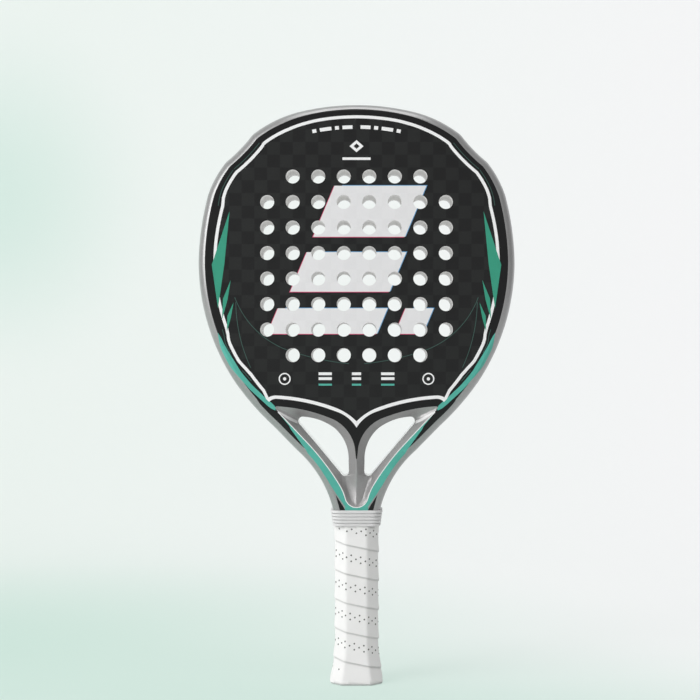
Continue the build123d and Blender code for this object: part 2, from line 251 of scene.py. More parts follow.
# by height: depth of the bowl's valley and of the ridge in its middle, and how far from
# the ridge the valley is deepest
BOWL_DEPTH = 7.8
BOWL_VALLEY = ((137, 0.4), (141, 1.1), (148, 4.0), (155, 6.2), (160, 6.9), (166, 7.7))
BOWL_RIDGE = ((137, 0.0), (141, 0.4), (148, 1.8), (155, 3.0), (160, 2.0), (166, 0.6), (171, 0.0))
BOWL_BREADTH = ((140, 1.2), (144, 3.2), (151, 6.2), (166, 8.4))
BOWL_WALL = 3.4             # width of the wall below the lip
RIDGE_TOP = 0.3             # half the width of the ridge's flat top
VALLEY_BLEND = 0.45         # rounding between wall and valley, as a share of the depth
FACET_FADE = (158, 166)     # heights between which the facet fades out in the bowl
EDGE_BLEND = 0.8            # rounding between the facet and the bowl


def hole_centres():
    """Centres of the air holes: a square grid without its four corners."""
    pitch = bpy.context.scene.racket_sizes.hole_pitch / MM
    side, middle = 8, 329.3
    spots = [(c - (side - 1) / 2, r - (side - 1) / 2) for c in range(side) for r in range(side)]
    return [(x * pitch, middle + z * pitch) for x, z in spots if abs(x) + abs(z) < side - 1]


def hole_loops():
    """Outlines of the air holes."""
    radius = bpy.context.scene.racket_sizes.hole_diameter / MM / 2
    return [circle(x, z, radius) for x, z in hole_centres()]


def half_thickness(z):
    """Half the frame's thickness, which eases from the head to the neck."""
    return HALF_DEPTH - NECK_THINNING * smooth((SHOULDER_AT - z) / (SHOULDER_AT - NECK_AT))


def rounding(z):
    """How far in from its outline the frame is rounded, and how full its wall is."""
    on_arm = smooth((ARM_TOP - z) / ARM_BLEND)
    return (RIM_RADIUS + (ARM_RADIUS - RIM_RADIUS) * on_arm,
            WALL_POWER + (ARM_WALL_POWER - WALL_POWER) * on_arm)


def eased(z, table):
    """Looks a height up in a table of heights and values, with its bends rounded."""
    shifts = (-4, -2.7, -1.3, 0, 1.3, 2.7, 4)
    return sum(np.interp(z + shift, *zip(*table)) for shift in shifts) / len(shifts)


# ------------------------------------------------------------------ solids from flat sheets
MERGED = 2e-3               # points closer than this are one
INWARD = 0.03               # how far in from a face's corner its slope is taken, as a share
GENTLE = 0.8                # cosine of the sharpest bend that a wall is shaded round


def cut_sheet(border, openings=(), loops=(), lines=(), dots=()):
    """Corners and triangles of a flat region, with edges along every given line."""
    corners, edges = [], []
    chains = [(c, True) for c in (border, *openings, *loops)] + [(c, False) for c in lines]
    for chain, closed in chains:
        first, count = len(corners), len(chain)
        corners += [Vector(p) for p in chain]
        edges += [(first + i, first + i + 1) for i in range(count - 1)]
        if closed:
            edges.append((first + count - 1, first))
    corners += [Vector(p) for p in dots]
    points, _, triangles, _, _, _ = delaunay_2d_cdt(corners, edges, [], 0, MERGED)
    points, triangles = np.array([tuple(p) for p in points]), np.array(triangles)
    middles = points[triangles].mean(1)
    kept = inside(middles, border) & ~inside(middles, *openings)
    return points, triangles[kept]


def paint_by(zones, middles):
    """Material index of each face: that of the last zone that holds its middle."""
    index = np.zeros(len(middles), int)
    for paint, loop in zones:
        index[inside(middles, loop)] = paint
    return index


class SolidMaker:
    """Collects the faces of one closed solid over numbered flat points."""

    def __init__(self, points):
        self.points, self.corners, self.known = points, [], {}
        self.faces, self.paints, self.normals = [], [], []

    def face(self, spots, paint, normals):
        """Adds a face by the number and y of each corner, unless it has no area."""
        face = []
        for number, y in spots:
            key = (number, round(y, 3))
            if key not in self.known:
                self.known[key] = len(self.corners)
                x, z = self.points[number]
                self.corners.append((x * MM, y * MM, z * MM))
            face.append(self.known[key])
        if len(set(face)) > 2:
            self.faces.append(face)
            self.paints.append(paint)
            self.normals.extend(normals)

    def finish(self, name, materials):
        """Makes an object of what was collected."""
        mesh = bpy.data.meshes.new(name)
        mesh.from_pydata(self.corners, [], self.faces)
        mesh.polygons.foreach_set("material_index", self.paints)
        mesh.polygons.foreach_set("use_smooth", [True] * len(self.faces))
        for material in materials:
            mesh.materials.append(material)
        mesh.normals_split_custom_set(self.normals)
        return link(name, mesh)


def link(name, mesh):
    """An object for a mesh, at the origin of the scene."""
    piece = bpy.data.objects.new(name, mesh)
    bpy.context.scene.collection.objects.link(piece)
    return piece


def slab(name, sheet, surfaces, zones, edge_paint, materials, seat=None):
    """A closed solid between a front and a back surface over a flat sheet.

    Each surface is a function of the points, of spots just inside their faces, where the
    slope is taken, and of whether they lie in the seat. It gives y and the normals. The
    seat is a loop within which both surfaces lie lower.
    """
    points, triangles = sheet
    middles = points[triangles].mean(1)
    paints = paint_by(zones, middles)
    low = inside(middles, seat) if seat else np.zeros(len(triangles), bool)
    toward = points[triangles] + INWARD * (middles[:, None] - points[triangles])
    heights, slopes = [], []
    for surface in surfaces:
        y, normal = np.empty((2, len(points))), np.empty((len(triangles), 3, 3))
        for level in (False, True):
            y[int(level)] = surface(points, points, level)[0]
            chosen = low == level
            flat = points[triangles[chosen]].reshape(-1, 2), toward[chosen].reshape(-1, 2)
            normal[chosen] = surface(*flat, level)[1].reshape(-1, 3, 3)
        heights.append(y)
        slopes.append(normal)

    solid = SolidMaker(points)
    owners, columns = {}, {}
    for t, triangle in enumerate(triangles.tolist()):
        level = int(low[t])
        for side, order in ((0, (0, 1, 2)), (1, (0, 2, 1))):
            spots = [(triangle[k], heights[side][level][triangle[k]]) for k in order]
            for p, y in spots:
                columns.setdefault(p, set()).add(round(y, 3))
            solid.face(spots, int(paints[t]), [slopes[side][t][k] for k in order])
        for a, b in zip(triangle, triangle[1:] + triangle[:1]):
            owners.setdefault((min(a, b), max(a, b)), []).append((t, a, b))

    # walls along the sheet's border, smooth where it bends gently
    border = [owner[0] for owner in owners.values() if len(owner) == 1]
    outward, meeting = {}, {}
    for _, a, b in border:
        along = points[b] - points[a]
        outward[a, b] = unit(np.array([along[1], -along[0]]))
        for p in (a, b):
            meeting.setdefault(p, []).append(outward[a, b])
    for t, a, b in border:
        spots, normals = [], []
        for p, forward in ((a, 1), (b, -1)):
            blend = unit(sum(n for n in meeting[p] if n @ outward[a, b] > GENTLE))
            first, last = (round(heights[side][int(low[t])][p], 3) for side in (0, 1))
            column = sorted(y for y in columns[p] if first <= y <= last)
            spots += [(p, y) for y in column[::forward]]
            normals += [(blend[0], 0, blend[1])] * len(column)
        solid.face(spots, edge_paint, normals)

    # walls round the seat
    for owner in owners.values():
        if len(owner) == 2 and low[owner[0][0]] != low[owner[1][0]]:
            _, a, b = next(o for o in owner if low[o[0]])
            along = points[b] - points[a]
            normals = [(-along[1], 0, along[0])] * 4
            for y, order in ((heights[0], (0, 0, 1, 1)), (heights[1], (1, 1, 0, 0))):
                spots = [(p, y[level][p]) for p, level in zip((a, b, b, a), order)]
                solid.face(spots, edge_paint, normals)
    return solid.finish(name, materials)


def flat_at(y, facing):
    """A flat surface that faces forward with -1 and back with 1."""
    def surface(points, toward, low):
        return np.full(len(points), y), np.tile((0.0, float(facing), 0.0), (len(points), 1))
    return surface


def mirrored(shape):
    """Front and back surfaces from one function of depth. Both are flat in the seat."""
    def make(sign):
        def surface(points, toward, low):
            y, normals = flat_at(SEAT, 1)(points, toward, low) if low else shape(points, toward)
            return sign * y, normals * (1, sign, 1)
        return surface
    return make(-1), make(1)


def frame_shape(points, toward):
    """Depth and normals of the frame: flat, with a round edge and a flatter outer wall."""
    gap, inward = rim.measure(points)
    (radius, power), half = rounding(points[:, 1]), half_thickness(points[:, 1])
    lack = 1 - np.clip(gap / radius, 0, 1)
    rise = (1 - lack ** CREASE_POWER) ** (1 / power)
    away = CREASE_POWER * lack ** (CREASE_POWER - 1) / radius
    upward = power * rise ** (power - 1) / half
    return half * rise, unit(np.stack([-inward[:, 0] * away, upward, -inward[:, 1] * away], 1))


def bridge_sink(points):
    """How far the heart lies below the frame's face: pockets, strut and bowl."""
    folded = np.stack([np.abs(points[:, 0]), points[:, 1]], 1)
    x, z = folded.T
    edge_gap = pocket_outline.measure(folded)[0]
    window_gap = window_outline.measure(folded)[0]
    lip_gap = lip_line.measure(folded)[0]
    deepest = half_thickness(z) - WINDOW_EDGE
    lip = deepest * np.clip((z - LIP_LOW) / (LIP_TOP - LIP_LOW), 0, 1)
    in_bowl = inside(folded, bowl_right)
    beside_lip = ~in_bowl & (z < LIP_TOP)
    facet = np.where(beside_lip, lip * edge_gap / (edge_gap + lip_gap + 1e-9),
                     deepest * edge_gap / (edge_gap + window_gap + 1e-9))
    facet = np.where(inside(folded, pocket_right), facet, 0)
    facet = np.where(in_bowl, facet * np.interp(z, FACET_FADE, (0, 1)), facet)

    scale = bpy.context.scene.racket_sizes.bowl_depth / BOWL_DEPTH / MM
    valley = scale * eased(z, BOWL_VALLEY)
    ridge = eased(z, BOWL_RIDGE)
    breadth = np.interp(z, *zip(*BOWL_BREADTH))
    wall = lip + (valley - lip) * np.clip(lip_gap / BOWL_WALL, 0, 1)
    slope = ridge + (valley - ridge) * np.clip((x - RIDGE_TOP) / breadth, 0, None)
    soft = VALLEY_BLEND * valley
    overlap = np.clip(soft - np.abs(wall - slope), 0, None)
    bowl = np.where(in_bowl, np.minimum(wall, slope) - overlap * overlap / (4 * soft), 0)
    overlap = np.clip(EDGE_BLEND - np.abs(facet - bowl), 0, None) * np.clip(bowl - 0.4, 0, 1)
    return np.maximum(facet, np.maximum(bowl, 0)) + overlap * overlap / (4 * EDGE_BLEND)


def bridge_shape(points, toward):
    """Depth and normals of the heart."""
    def depth(spots):
        return half_thickness(spots[:, 1]) - bridge_sink(spots)

    step = 0.02
    here = depth(toward)
    along_x = (depth(toward + (step, 0)) - here) / step
    along_z = (depth(toward + (0, step)) - here) / step
    return depth(points), unit(np.stack([-along_x, np.ones(len(points)), -along_z], 1))


# ------------------------------------------------------------------ printed design
# the paints of a face and of the frame, in the order of their materials
BLACK, WEAVE, INK_WHITE, STRIPE, LINE_GREEN, FLASH, PANEL, PINK, BLUE = range(9)
SILVER, ARM_BLACK, ARM_STRIPE, ARM_EDGE_HIGHLIGHT = range(4)
HEAD_MIDDLE = 332           # height that bearings are taken from

# distance of the pin line inside the frame's outline, by bearing
PIN_GAPS = (
    (0, 9.8), (12.7, 9.9), (16.2, 10.0), (19.7, 10.4), (26.7, 11.0), (37, 11.2), (38.8, 11.6),
    (40.6, 12.0), (54, 11.8), (61.3, 11.9), (64.8, 12.4), (68.3, 13.5), (75.3, 13.1),
    (82.4, 12.8), (111.4, 12.9), (116, 12.9), (118.5, 12.2), (120, 11.2), (122, 10.7),
    (128.9, 10.9), (130.5, 11.5), (132.3, 12.4), (135.6, 13.4), (142.6, 13.4),
)
# distance of the flank stripe's two edges inside the outline, by height
STRIPE_OUTER = (
    (208.4, 10.6), (211.1, 9.3), (214.6, 8.8), (217, 8.6), (223, 7.7), (229, 6.7), (235.5, 6.1),
    (242, 5.0), (246, 4.3), (249, 3.9), (263, 3.9), (267.4, 4.6), (270.6, 5.4), (274.5, 6.4),
)
STRIPE_INNER = (
    (208.4, 11.2), (209.6, 12.5), (210.8, 12.9), (213.4, 12.7), (217, 12.0), (223, 11.4),
    (229, 10.4), (235.5, 9.8), (242, 9.2), (249, 9.1), (256, 8.6), (263, 7.9), (270.6, 7.4),
    (274.5, 6.5),
)


def ribbon(outer, inner):
    """A closed loop between two chains that run the same way."""
    return list(outer) + list(reversed(inner))


def stroke(chain, width):
    """A closed loop of one width along an open chain."""
    line = Outline(chain, closed=False)
    last = line.starts[-1] + line.steps[-1]
    side = unit(line.last_left[-1]) * width / 2
    left = line.beside(width / 2) + [tuple(last + side)]
    right = line.beside(-width / 2) + [tuple(last - side)]
    return ribbon(left, right)


def slanted_bar(left, right, low, high, lean=0.42):
    """A bar between two heights whose ends lean to the right."""
    shift = lean * (high - low)
    return [(left, low), (right, low), (right + shift, high), (left + shift, high)]


def bearing(points):
    """Degrees from straight up, seen from the middle of the head."""
    return np.degrees(np.arctan2(points[:, 0], points[:, 1] - HEAD_MIDDLE))


def height(points):
    """The height of each point."""
    return points[:, 1]


def beside_rim(gaps, place=bearing):
    """A line at a varying distance inside the right edge of the frame.

    The gaps are pairs of a place, as a bearing or a height, and a distance.
    """
    spots, widths = zip(*gaps)
    right = rim.starts[:, 0] > -1e-6
    where = place(rim.starts[right])
    order = np.argsort(where)
    step = 1.6 / (2.1 if place is bearing else 1.4)     # 1.6 mm, by the rim's length per unit
    count = max(1, math.ceil(abs(spots[-1] - spots[0]) / step))
    stops = np.linspace(spots[0], spots[-1], count + 1)
    x, z, aside, up = (
        np.interp(stops, where[order], values[right][order])
        for values in (*rim.starts.T, *unit(rim.first_left).T))
    reach = np.interp(stops, spots, widths)
    return list(zip((x + aside * reach).tolist(), (z + up * reach).tolist()))


def flank_stripe():
    """The green stripe on the right flank of the head."""
    return ribbon(beside_rim(STRIPE_OUTER, height), beside_rim(STRIPE_INNER, height))


def pair(paint, loop):
    """A zone on the right and its mirror image on the left."""
    return [(paint, side) for side in both(loop)]


def face_zones():
    """What is printed on each face: paint and loop, later ones on top."""
    width = bpy.context.scene.racket_sizes.pin_line / MM
    pin_outer = beside_rim(PIN_GAPS)
    pin_inner = beside_rim([(spot, gap + width) for spot, gap in PIN_GAPS])
    notch, tip = (68.9, 226.2), (68.5, 222.6)
    # both lines run a little past the middle, so that the two halves overlap there
    pin_outer = [(-0.3, pin_outer[0][1])] + pin_outer + [(70.8, 224.9), tip]
    pin_inner = [(-0.3, pin_inner[0][1])] + pin_inner + [notch]
    bow_top = trace((0, 207.4), ((7, 213.2), (16.2, 218)), ((36, 224), (63.2, 227.7)),
                    ((66.2, 227.3), notch))
    bow_low = trace((0, 202.5), ((6.4, 209.9), (16.2, 215.2)), ((36, 221.3), (63.2, 225.1)),
                    ((66, 224.5), tip))
    zones = [(WEAVE, loop_of(bow_top[:-1] + pin_inner[:0:-1]))]
    zones += pair(STRIPE, flank_stripe()) + pair(INK_WHITE, ribbon(pin_outer, pin_inner))
    zones += pair(INK_WHITE, ribbon(bow_top, bow_low))
    for line in (
        beside_rim([(40, 9.8), (52, 9.8)]), beside_rim([(53, 9.8), (62, 10.1), (68.5, 11.2)]),
        beside_rim([(116, 10.6), (118.5, 10.2), (121, 8.8), (125, 9.1)]),
        beside_rim([(132.5, 10.4), (134, 11.3), (137.5, 11.8)]),
        trace((95.4, 304.6), ((80.5, 280.6), (54, 263.2)), ((28, 256), (6, 252.6)), step=3),
        trace((94.6, 301), ((91.6, 275), (83, 249.6)), step=3),
    ):
        zones += pair(LINE_GREEN, stroke(line, 0.5))
    for sliver in (
        [(99.5, 372), (103.5, 331), (108.5, 296), (113.4, 330)],
        [(98.6, 318), (104.6, 303.5), (105.4, 287), (101, 303)],
        [(96.4, 300.5), (101.2, 290), (101.6, 277.5), (98.4, 289)],
    ):
        zones += pair(FLASH, sliver)
    # slanted bars, each with a thin coloured shadow at both ends
    for left, right, low, high in (
        (-34, 38, 352, 392), (-52, 26, 309, 340), (-70, 16, 276, 296), (30, 52, 276, 296),
    ):
        zones += [
            (PINK, slanted_bar(left - 0.7, right - 1, low - 0.5, high - 0.3)),
            (BLUE, slanted_bar(left + 6, right + 0.7, low + 0.3, high + 0.5)),
            (PANEL, slanted_bar(left, right, low, high)),
        ]
    # a row of dashes, a diamond and a short line under the crown
    for dash in ((1.6, 5.6), (7.0, 8.6), (10.0, 14.6), (16.0, 17.6)):
        upper, lower = (beside_rim([(spot, gap) for spot in dash]) for gap in (17.6, 20.4))
        zones += pair(INK_WHITE, ribbon(upper, lower))
    zones += [
        (INK_WHITE, [(-5.5, 423), (0, 418.2), (5.5, 423), (0, 427.8)]),
        (WEAVE, [(-2.4, 423), (0, 420.9), (2.4, 423), (0, 425.1)]),
        (INK_WHITE, slanted_bar(-11, 11, 412.2, 414.2, lean=0)),
    ]
    # rings and short lines under the holes
    for x in (-56.3, 56.3):
        zones += [(INK_WHITE, circle(x, 240.7, 4.7)), (WEAVE, circle(x, 240.7, 3.7)),
                  (INK_WHITE, circle(x, 240.7, 1.3, 16))]
    for x, half in ((-24.5, 5.2), (0, 3.6), (24.5, 5.2)):
        for low, high, paint in (
            (243.6, 245.8, INK_WHITE), (239.8, 242, INK_WHITE), (235.4, 236.9, STRIPE),
        ):
            zones.append((paint, slanted_bar(x - half, x + half, low, high, lean=0)))
    return zones


def arm_zones():
    """What is painted on the frame: black bands, the green stripes and a pale line that paints the
    highlight of the heart's edge.
    """
    band = ribbon(
        beside_rim([(182.5, 5.7), (190, 5.5), (216, 5.4), (219.5, 5.7), (223.5, 7.4)], height),
        beside_rim([(182.5, 5.9), (187, 9), (199, 13), (214, 13), (223.5, 7.6)], height))
    beak = [(16.3, 149.6), (11.2, 141.8), (7.9, 136), (12.7, 136)]
    edge = beside_rim([
        (136, 10.8), (141.8, 8.5), (148, 6.4), (155, 5.0), (163, 4.5), (179, 4.5), (181.5, 5.6),
        (186.5, 6.8), (190.7, 7.7), (195, 8.6), (197, 9.6)], height)
    floor = [(-9.6, 136), (9.6, 136), (9, 139.8), (-9, 139.8)]
    # painted highlight: a white ribbon where the heart's edge catches the light
    pale = ribbon(heart_outline.beside(-0.65), heart_outline.beside(1.2))
    crown_line = beside_rim([(0, 4.8), (11, 5.0), (17, 5.3), (23, 5.8), (29, 6.3)])
    return [
        (ARM_BLACK, crown_line + flip(crown_line)[:-1]), *pair(ARM_BLACK, band),
        *pair(ARM_STRIPE, ribbon(edge, heart_outline.beside(-0.4))), (ARM_STRIPE, floor),
        *pair(ARM_BLACK, beak), *pair(ARM_EDGE_HIGHLIGHT, pale), *pair(ARM_STRIPE, flank_stripe()),
    ]


# ------------------------------------------------------------------ materials
def linear(colour):
    """A hex colour as the linear values that a shader takes."""
    parts = [int(colour[i:i + 2], 16) / 255 for i in (1, 3, 5)]
    return [c / 12.92 if c <= 0.04045 else ((c + 0.055) / 1.055) ** 2.4 for c in parts]


def node(tree, kind, inputs=None, **settings):
    """Adds a node. Inputs are sockets to link or plain values."""
    new = tree.nodes.new(kind)
    for name, value in settings.items():
        setattr(new, name, value)
    for name, value in (inputs or {}).items():
        if isinstance(value, bpy.types.NodeSocket):
            tree.links.new(value, new.inputs[name])
        else:
            new.inputs[name].default_value = value
    return new


def tint(tree, factor, low, high):
    """A colour between two, by a factor. Each is a socket or three linear values."""
    a, b = (c if isinstance(c, bpy.types.NodeSocket) else (*c, 1) for c in (low, high))
    mix = node(tree, "ShaderNodeMix", {"Factor": factor, "A": a, "B": b}, data_type="RGBA")
    return mix.outputs["Result"]


def shade(colour, by):
    """A colour made lighter or darker."""
    return [c * by for c in colour]


class Finish:
    """A principled material with textures in millimetres over the object's coordinates."""

    def __init__(self, name, colour, **shader):
        self.colour = colour
        self.material = bpy.data.materials.new(name)
        self.material.use_nodes = True
        self.material.diffuse_color = (*colour, 1)
        self.tree = self.material.node_tree
        self.shader = self.tree.nodes["Principled BSDF"].inputs
        self.shader["Base Color"].default_value = (*colour, 1)
        for socket, value in shader.items():
            self.shader[socket.replace("_", " ")].default_value = value
        place = node(self.tree, "ShaderNodeTexCoord").outputs["Object"]
        self.mm = self.vector("MULTIPLY", place, (1000, 1000, 1000))

    def vector(self, operation, *terms):
        """A sum or product of vectors."""
        terms = dict(enumerate(terms))
        return node(self.tree, "ShaderNodeVectorMath", terms, operation=operation).outputs[0]

    def texture(self, kind, output="Fac", settings=None, **inputs):
        """One output of a texture. Its scale is in features for each millimetre."""
        inputs = {"Vector": self.mm, **inputs}
        new = node(self.tree, "ShaderNodeTex" + kind, inputs, **(settings or {}))
        return new.outputs[output]

    def tow_squares(self):
        """The 10 mm squares of the weave, 0 or 1. They lie alike in carbon and in ink."""
        shifted = self.vector("ADD", self.mm, (0, 0.3, 3.7))
        return self.texture("Checker", Vector=shifted, Scale=0.1)

    def mix(self, factor, a, b):
        """A number between two, by a factor."""
        mixed = node(self.tree, "ShaderNodeMix", {"Factor": factor, "A": a, "B": b})
        return mixed.outputs["Result"]

    def spread(self, value, low, high):
        """Maps 0 to 1 on to a range."""
        span = {"Value": value, "To Min": low, "To Max": high}
        return node(self.tree, "ShaderNodeMapRange", span).outputs["Result"]

    def varied(self, factor, low, high):
        """The finish's own colour, darker or lighter by a factor."""
        return tint(self.tree, factor, shade(self.colour, low), shade(self.colour, high))

    def done(self, tone, roughness=None, relief=None):
        """The material, with a colour, a roughness (factor, low, high) and a relief.

        The relief is a height from 0 to 1, its depth in millimetres and its strength.
        """
        self.tree.links.new(tone, self.shader["Base Color"])
        if roughness:
            self.tree.links.new(self.spread(*roughness), self.shader["Roughness"])
        if relief:
            height, depth, strength = relief
            bump = node(self.tree, "ShaderNodeBump", {
                "Height": height, "Distance": depth * MM, "Strength": strength})
            self.tree.links.new(bump.outputs["Normal"], self.shader["Normal"])
        return self.material


def carbon_weave(name, colour, light, contrast, roughness):
    """Wide-tow carbon: 10 mm squares, fibres by turns across and along, satin lacquer."""
    new = Finish(name, colour, Specular_IOR_Level=0.3)
    checks = new.tow_squares()
    across, along = (
        new.texture("Wave", settings={"wave_type": "BANDS", "bands_direction": axis},
                    Scale=0.42, Distortion=0.6, Detail=1.0)
        for axis in "XZ")
    fibre = new.mix(checks, across, along)
    cloud = new.texture("Noise", Scale=0.03, Detail=2.0)
    squares = tint(new.tree, checks, colour, light)
    fine = tint(new.tree, new.spread(fibre, 0, contrast), squares, shade(light, 1.5))
    tone = node(new.tree, "ShaderNodeHueSaturation", {
        "Color": fine, "Value": new.spread(cloud, 0.85, 1.15)}).outputs["Color"]
    return new.done(tone, (checks, roughness, roughness + 0.07), (fibre, 0.02, 0.6))


def metallic_lacquer(name, colour, metallic, roughness, shine=0.5):
    """Metallic lacquer over carbon: flakes of 0.4 mm, slight orange peel, duller clouds."""
    new = Finish(name, colour, Metallic=metallic, Specular_IOR_Level=shine)
    flakes = new.texture("Voronoi", "Color", Scale=2.6)
    grey = node(new.tree, "ShaderNodeRGBToBW", {"Color": flakes}).outputs["Val"]
    cloud = new.texture("Noise", Scale=0.05, Detail=3.0)
    peel = new.texture("Noise", Scale=0.5, Detail=1.0)
    worn = cloud, roughness - 0.05, roughness + 0.07
    return new.done(new.varied(grey, 0.88, 1.1), worn, (peel, 0.03, 0.5))


def printed_ink(name, colour, roughness=0.42):
    """Screen-printed ink under satin lacquer, so thin that the weave shows faintly."""
    new = Finish(name, colour, Coat_Weight=0.25, Coat_Roughness=0.35)
    grain = new.texture("Noise", Scale=1.2, Detail=3.0)
    mixed = new.mix(0.75, new.tow_squares(), grain)
    worn = grain, roughness - 0.04, roughness + 0.05
    return new.done(new.varied(mixed, 0.95, 1.03), worn, (grain, 0.01, 0.4))


def closed_cell_foam(name, colour, cell, glow=0.0):
    """Cut foam: closed cells of about one cell size in millimetres, dead matt.

    A little painted glow lightens the shaded walls of the holes.
    """
    new = Finish(name, colour, Roughness=0.85, Emission_Color=(*colour, 1), Emission_Strength=glow)
    cells = new.texture("Voronoi", "Distance", Scale=1 / cell)
    return new.done(new.varied(cells, 0.93, 1.03), relief=(cells, 0.12, 0.7))


def tacky_wrap(name, colour, roughness=0.62, shade_attribute=None):
    """Soft polyurethane: leathery grain of 0.5 mm, slightly soiled in clouds, with painted shade
    in the grooves that an attribute marks.
    """
    new = Finish(name, colour, Sheen_Weight=0.15)
    grain = new.texture("Voronoi", "Distance", Scale=1.8)
    cloud = new.texture("Noise", Scale=0.06, Detail=4.0)
    tone = new.varied(cloud, 0.94, 1.02)
    if shade_attribute:
        # painted shade: the attribute darkens the grooves, for the shadow under each lapped edge
        shade_share = node(new.tree, "ShaderNodeAttribute", attribute_name=shade_attribute).outputs["Fac"]
        tone = tint(new.tree, shade_share, tone, shade(colour, 0.3))
    return new.done(tone, (cloud, roughness - 0.05, roughness + 0.08), (grain, 0.05, 0.6))


def moulded_rubber(name, colour, roughness=0.5):
    """Moulded rubber or plastic: spark-eroded texture of 0.5 mm, faint dusty clouds."""
    new = Finish(name, colour)
    texture = new.texture("Noise", Scale=2.2, Detail=3.0)
    cloud = new.texture("Noise", Scale=0.12, Detail=2.0)
    worn = texture, roughness - 0.06, roughness + 0.06
    return new.done(new.varied(cloud, 0.95, 1.04), worn, (texture, 0.03, 0.5))


def drawn_wire(name, colour):
    """Galvanised steel wire with drawing marks of 0.2 mm."""
    new = Finish(name, colour, Metallic=1.0)
    lines = new.texture("Noise", Scale=6.0, Detail=2.0)
    return new.done(new.varied(lines, 0.9, 1.05), (lines, 0.3, 0.45))


# ------------------------------------------------------------------ settings
def length(name, description, millimetres, low, high):
    """A length that a user may change, with its limits in millimetres."""
    return bpy.props.FloatProperty(
        name=name, description=description, default=millimetres * MM, min=low * MM,
        max=high * MM, subtype="DISTANCE", unit="LENGTH", precision=4)


def colour(name, description, value):
    """A colour that a user may change."""
    return bpy.props.FloatVectorProperty(
        name=name, description=description, subtype="COLOR", size=3, min=0, max=1,
        default=linear(value))


class RacketSizes(bpy.types.PropertyGroup):
    """Sizes that a user may change"""
    hole_diameter: length("Hole diameter", "Diameter of each air hole", 11.0, 4, 15)
    hole_pitch: length("Hole pitch", "Distance between neighbouring air holes", 20.0, 16, 20)
    pin_line: length("Pin line", "Width of the white line round the face", 2.4, 0.5, 5)
    bowl_depth: length("Bowl depth", "Depth of the bowl where its valleys are deepest", 7.8, 4, 8)
    rib_height: length("Rib height", "How far the collar's ribs stand out", 0.9, 0.2, 1.5)
    wrap_pitch: length("Wrap pitch", "Height gained by each turn of the wrap", 22.95, 15, 30)
    wrap_lap: length("Wrap lap", "How far the lapped edge stands out", 0.7, 0.2, 1)
    perforation: length("Perforation", "Diameter of the wrap's perforations", 1.35, 0.5, 2)


class RacketColours(bpy.types.PropertyGroup):
    """Colours that a user may change"""
    carbon: colour("Carbon", "Darker squares of the weave", "#171718")
    carbon_light: colour("Light carbon", "Lighter squares of the weave", "#1F2020")
    black: colour("Black", "Black lacquer of the face's border and the arms", "#151516")
    frame: colour("Frame", "Metallic lacquer of the frame", "#A0A0A0")
    bridge: colour("Bridge", "Metallic lacquer of the heart", "#A2A1A1")
    # bevel: a painted highlight, the pale wedge where the crease beside each window catches the
    # light
    bevel: colour("Bevel", "Pale wedge beside each window's outer corner", "#DEDEDE")
    stripe: colour("Stripe", "Green stripes along the frame", "#4CAE9E")
    flash: colour("Flash", "Darker green slivers beside the face", "#2B977B")
    line: colour("Thin line", "Thin dark green lines", "#2C5048")
    white: colour("White", "White lines and marks", "#F1F2F2")
    panel: colour("Panel", "Slanted bars across the holes", "#E4E4E5")
    pink: colour("Pink", "Thin shadow on the left of the bars", "#D9527C")
    blue: colour("Blue", "Thin shadow on the right of the bars", "#5A9CCB")
    foam: colour("Foam", "Core seen in the holes", "#EDEDEC")
    wrap: colour("Wrap", "Outer wrap of the handle", "#EFEFEE")
    collar: colour("Collar", "Ribbed rubber collar", "#DADADA")
    cap: colour("Cap", "Butt cap", "#C4C8C6")


# ------------------------------------------------------------------ pieces
def settle(piece, slot, *nodes):
    """Fixes a piece to the racket's one body, in place of the nodes it stands for."""
    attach(piece, "root")
    if nodes:
        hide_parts(*nodes)


def outward_mesh(name, build, material=None, soft=True):
    """A mesh from a bmesh, with its faces turned outward."""
    bmesh.ops.recalc_face_normals(build, faces=build.faces)
    for face in build.faces:
        face.smooth = soft
    mesh = bpy.data.meshes.new(name)
    build.to_mesh(mesh)
    build.free()
    if material:
        mesh.materials.append(material)
    return mesh


def loft(name, rings, material=None, ends=False, soft=True):
    """A mesh through rings of corners in millimetres: closed on itself, or with two ends."""
    build = bmesh.new()
    made = [[build.verts.new([c * MM for c in corner]) for corner in ring] for ring in rings]
    for ring, upper in zip(made, made[1:] if ends else made[1:] + made[:1]):
        for i in range(len(ring)):
            build.faces.new((ring[i - 1], ring[i], upper[i], upper[i - 1]))
    if ends:
        build.faces.new(made[0])
        build.faces.new(made[-1][::-1])
    return outward_mesh(name, build, material, soft)


class RACKET_OT_frame(bpy.types.Operator):
    """Lacquered frame: round the head, down both arms and into the neck"""
    bl_idname = "racket.frame"
    bl_label = "Frame"

    def execute(self, context):
        colours = context.scene.racket_colours
        # the lines of the rounding run past the neck's end, where the border cuts them off
        tail = unit(np.array(silhouette[-1]) - silhouette[-2])
        tails = [tuple(silhouette[-1] + tail * reach) for reach in (3, 6)]
        long_rim = Outline(flip(tails) + silhouette + tails, closed=False)
        rounds = []
        for turn in (7, 14, 22, 31, 40, 50, 60, 70, 78, 84, 87.5, 90):
            reach = rounding(long_rim.starts[:, 1])[0] * (1 - math.cos(math.radians(turn)))
            rounds.append(long_rim.beside(reach))
        zones = arm_zones()
        loops = [skin_loop] + [loop for _, loop in zones]
        sheet = cut_sheet(silhouette, [tube_loop], loops=loops, lines=rounds)
        materials = [
            metallic_lacquer("Silver grey lacquer", colours.frame, 0.5, 0.3),
            metallic_lacquer("Black lacquer", colours.black, 0.0, 0.38, 0.3),
            printed_ink("Green stripe lacquer", colours.stripe),
            printed_ink("Painted highlight on the heart's edge", colours.white),
        ]
        piece = slab("frame_shell", sheet, mirrored(frame_shape), zones, SILVER, materials,
                     seat=skin_loop)
        settle(piece, "frame_lacquer", "frame_tube")
        return {"FINISHED"}


HANDLE_WIDE, HANDLE_DEEP = 14.6, 12.9       # half the bare handle's width and depth


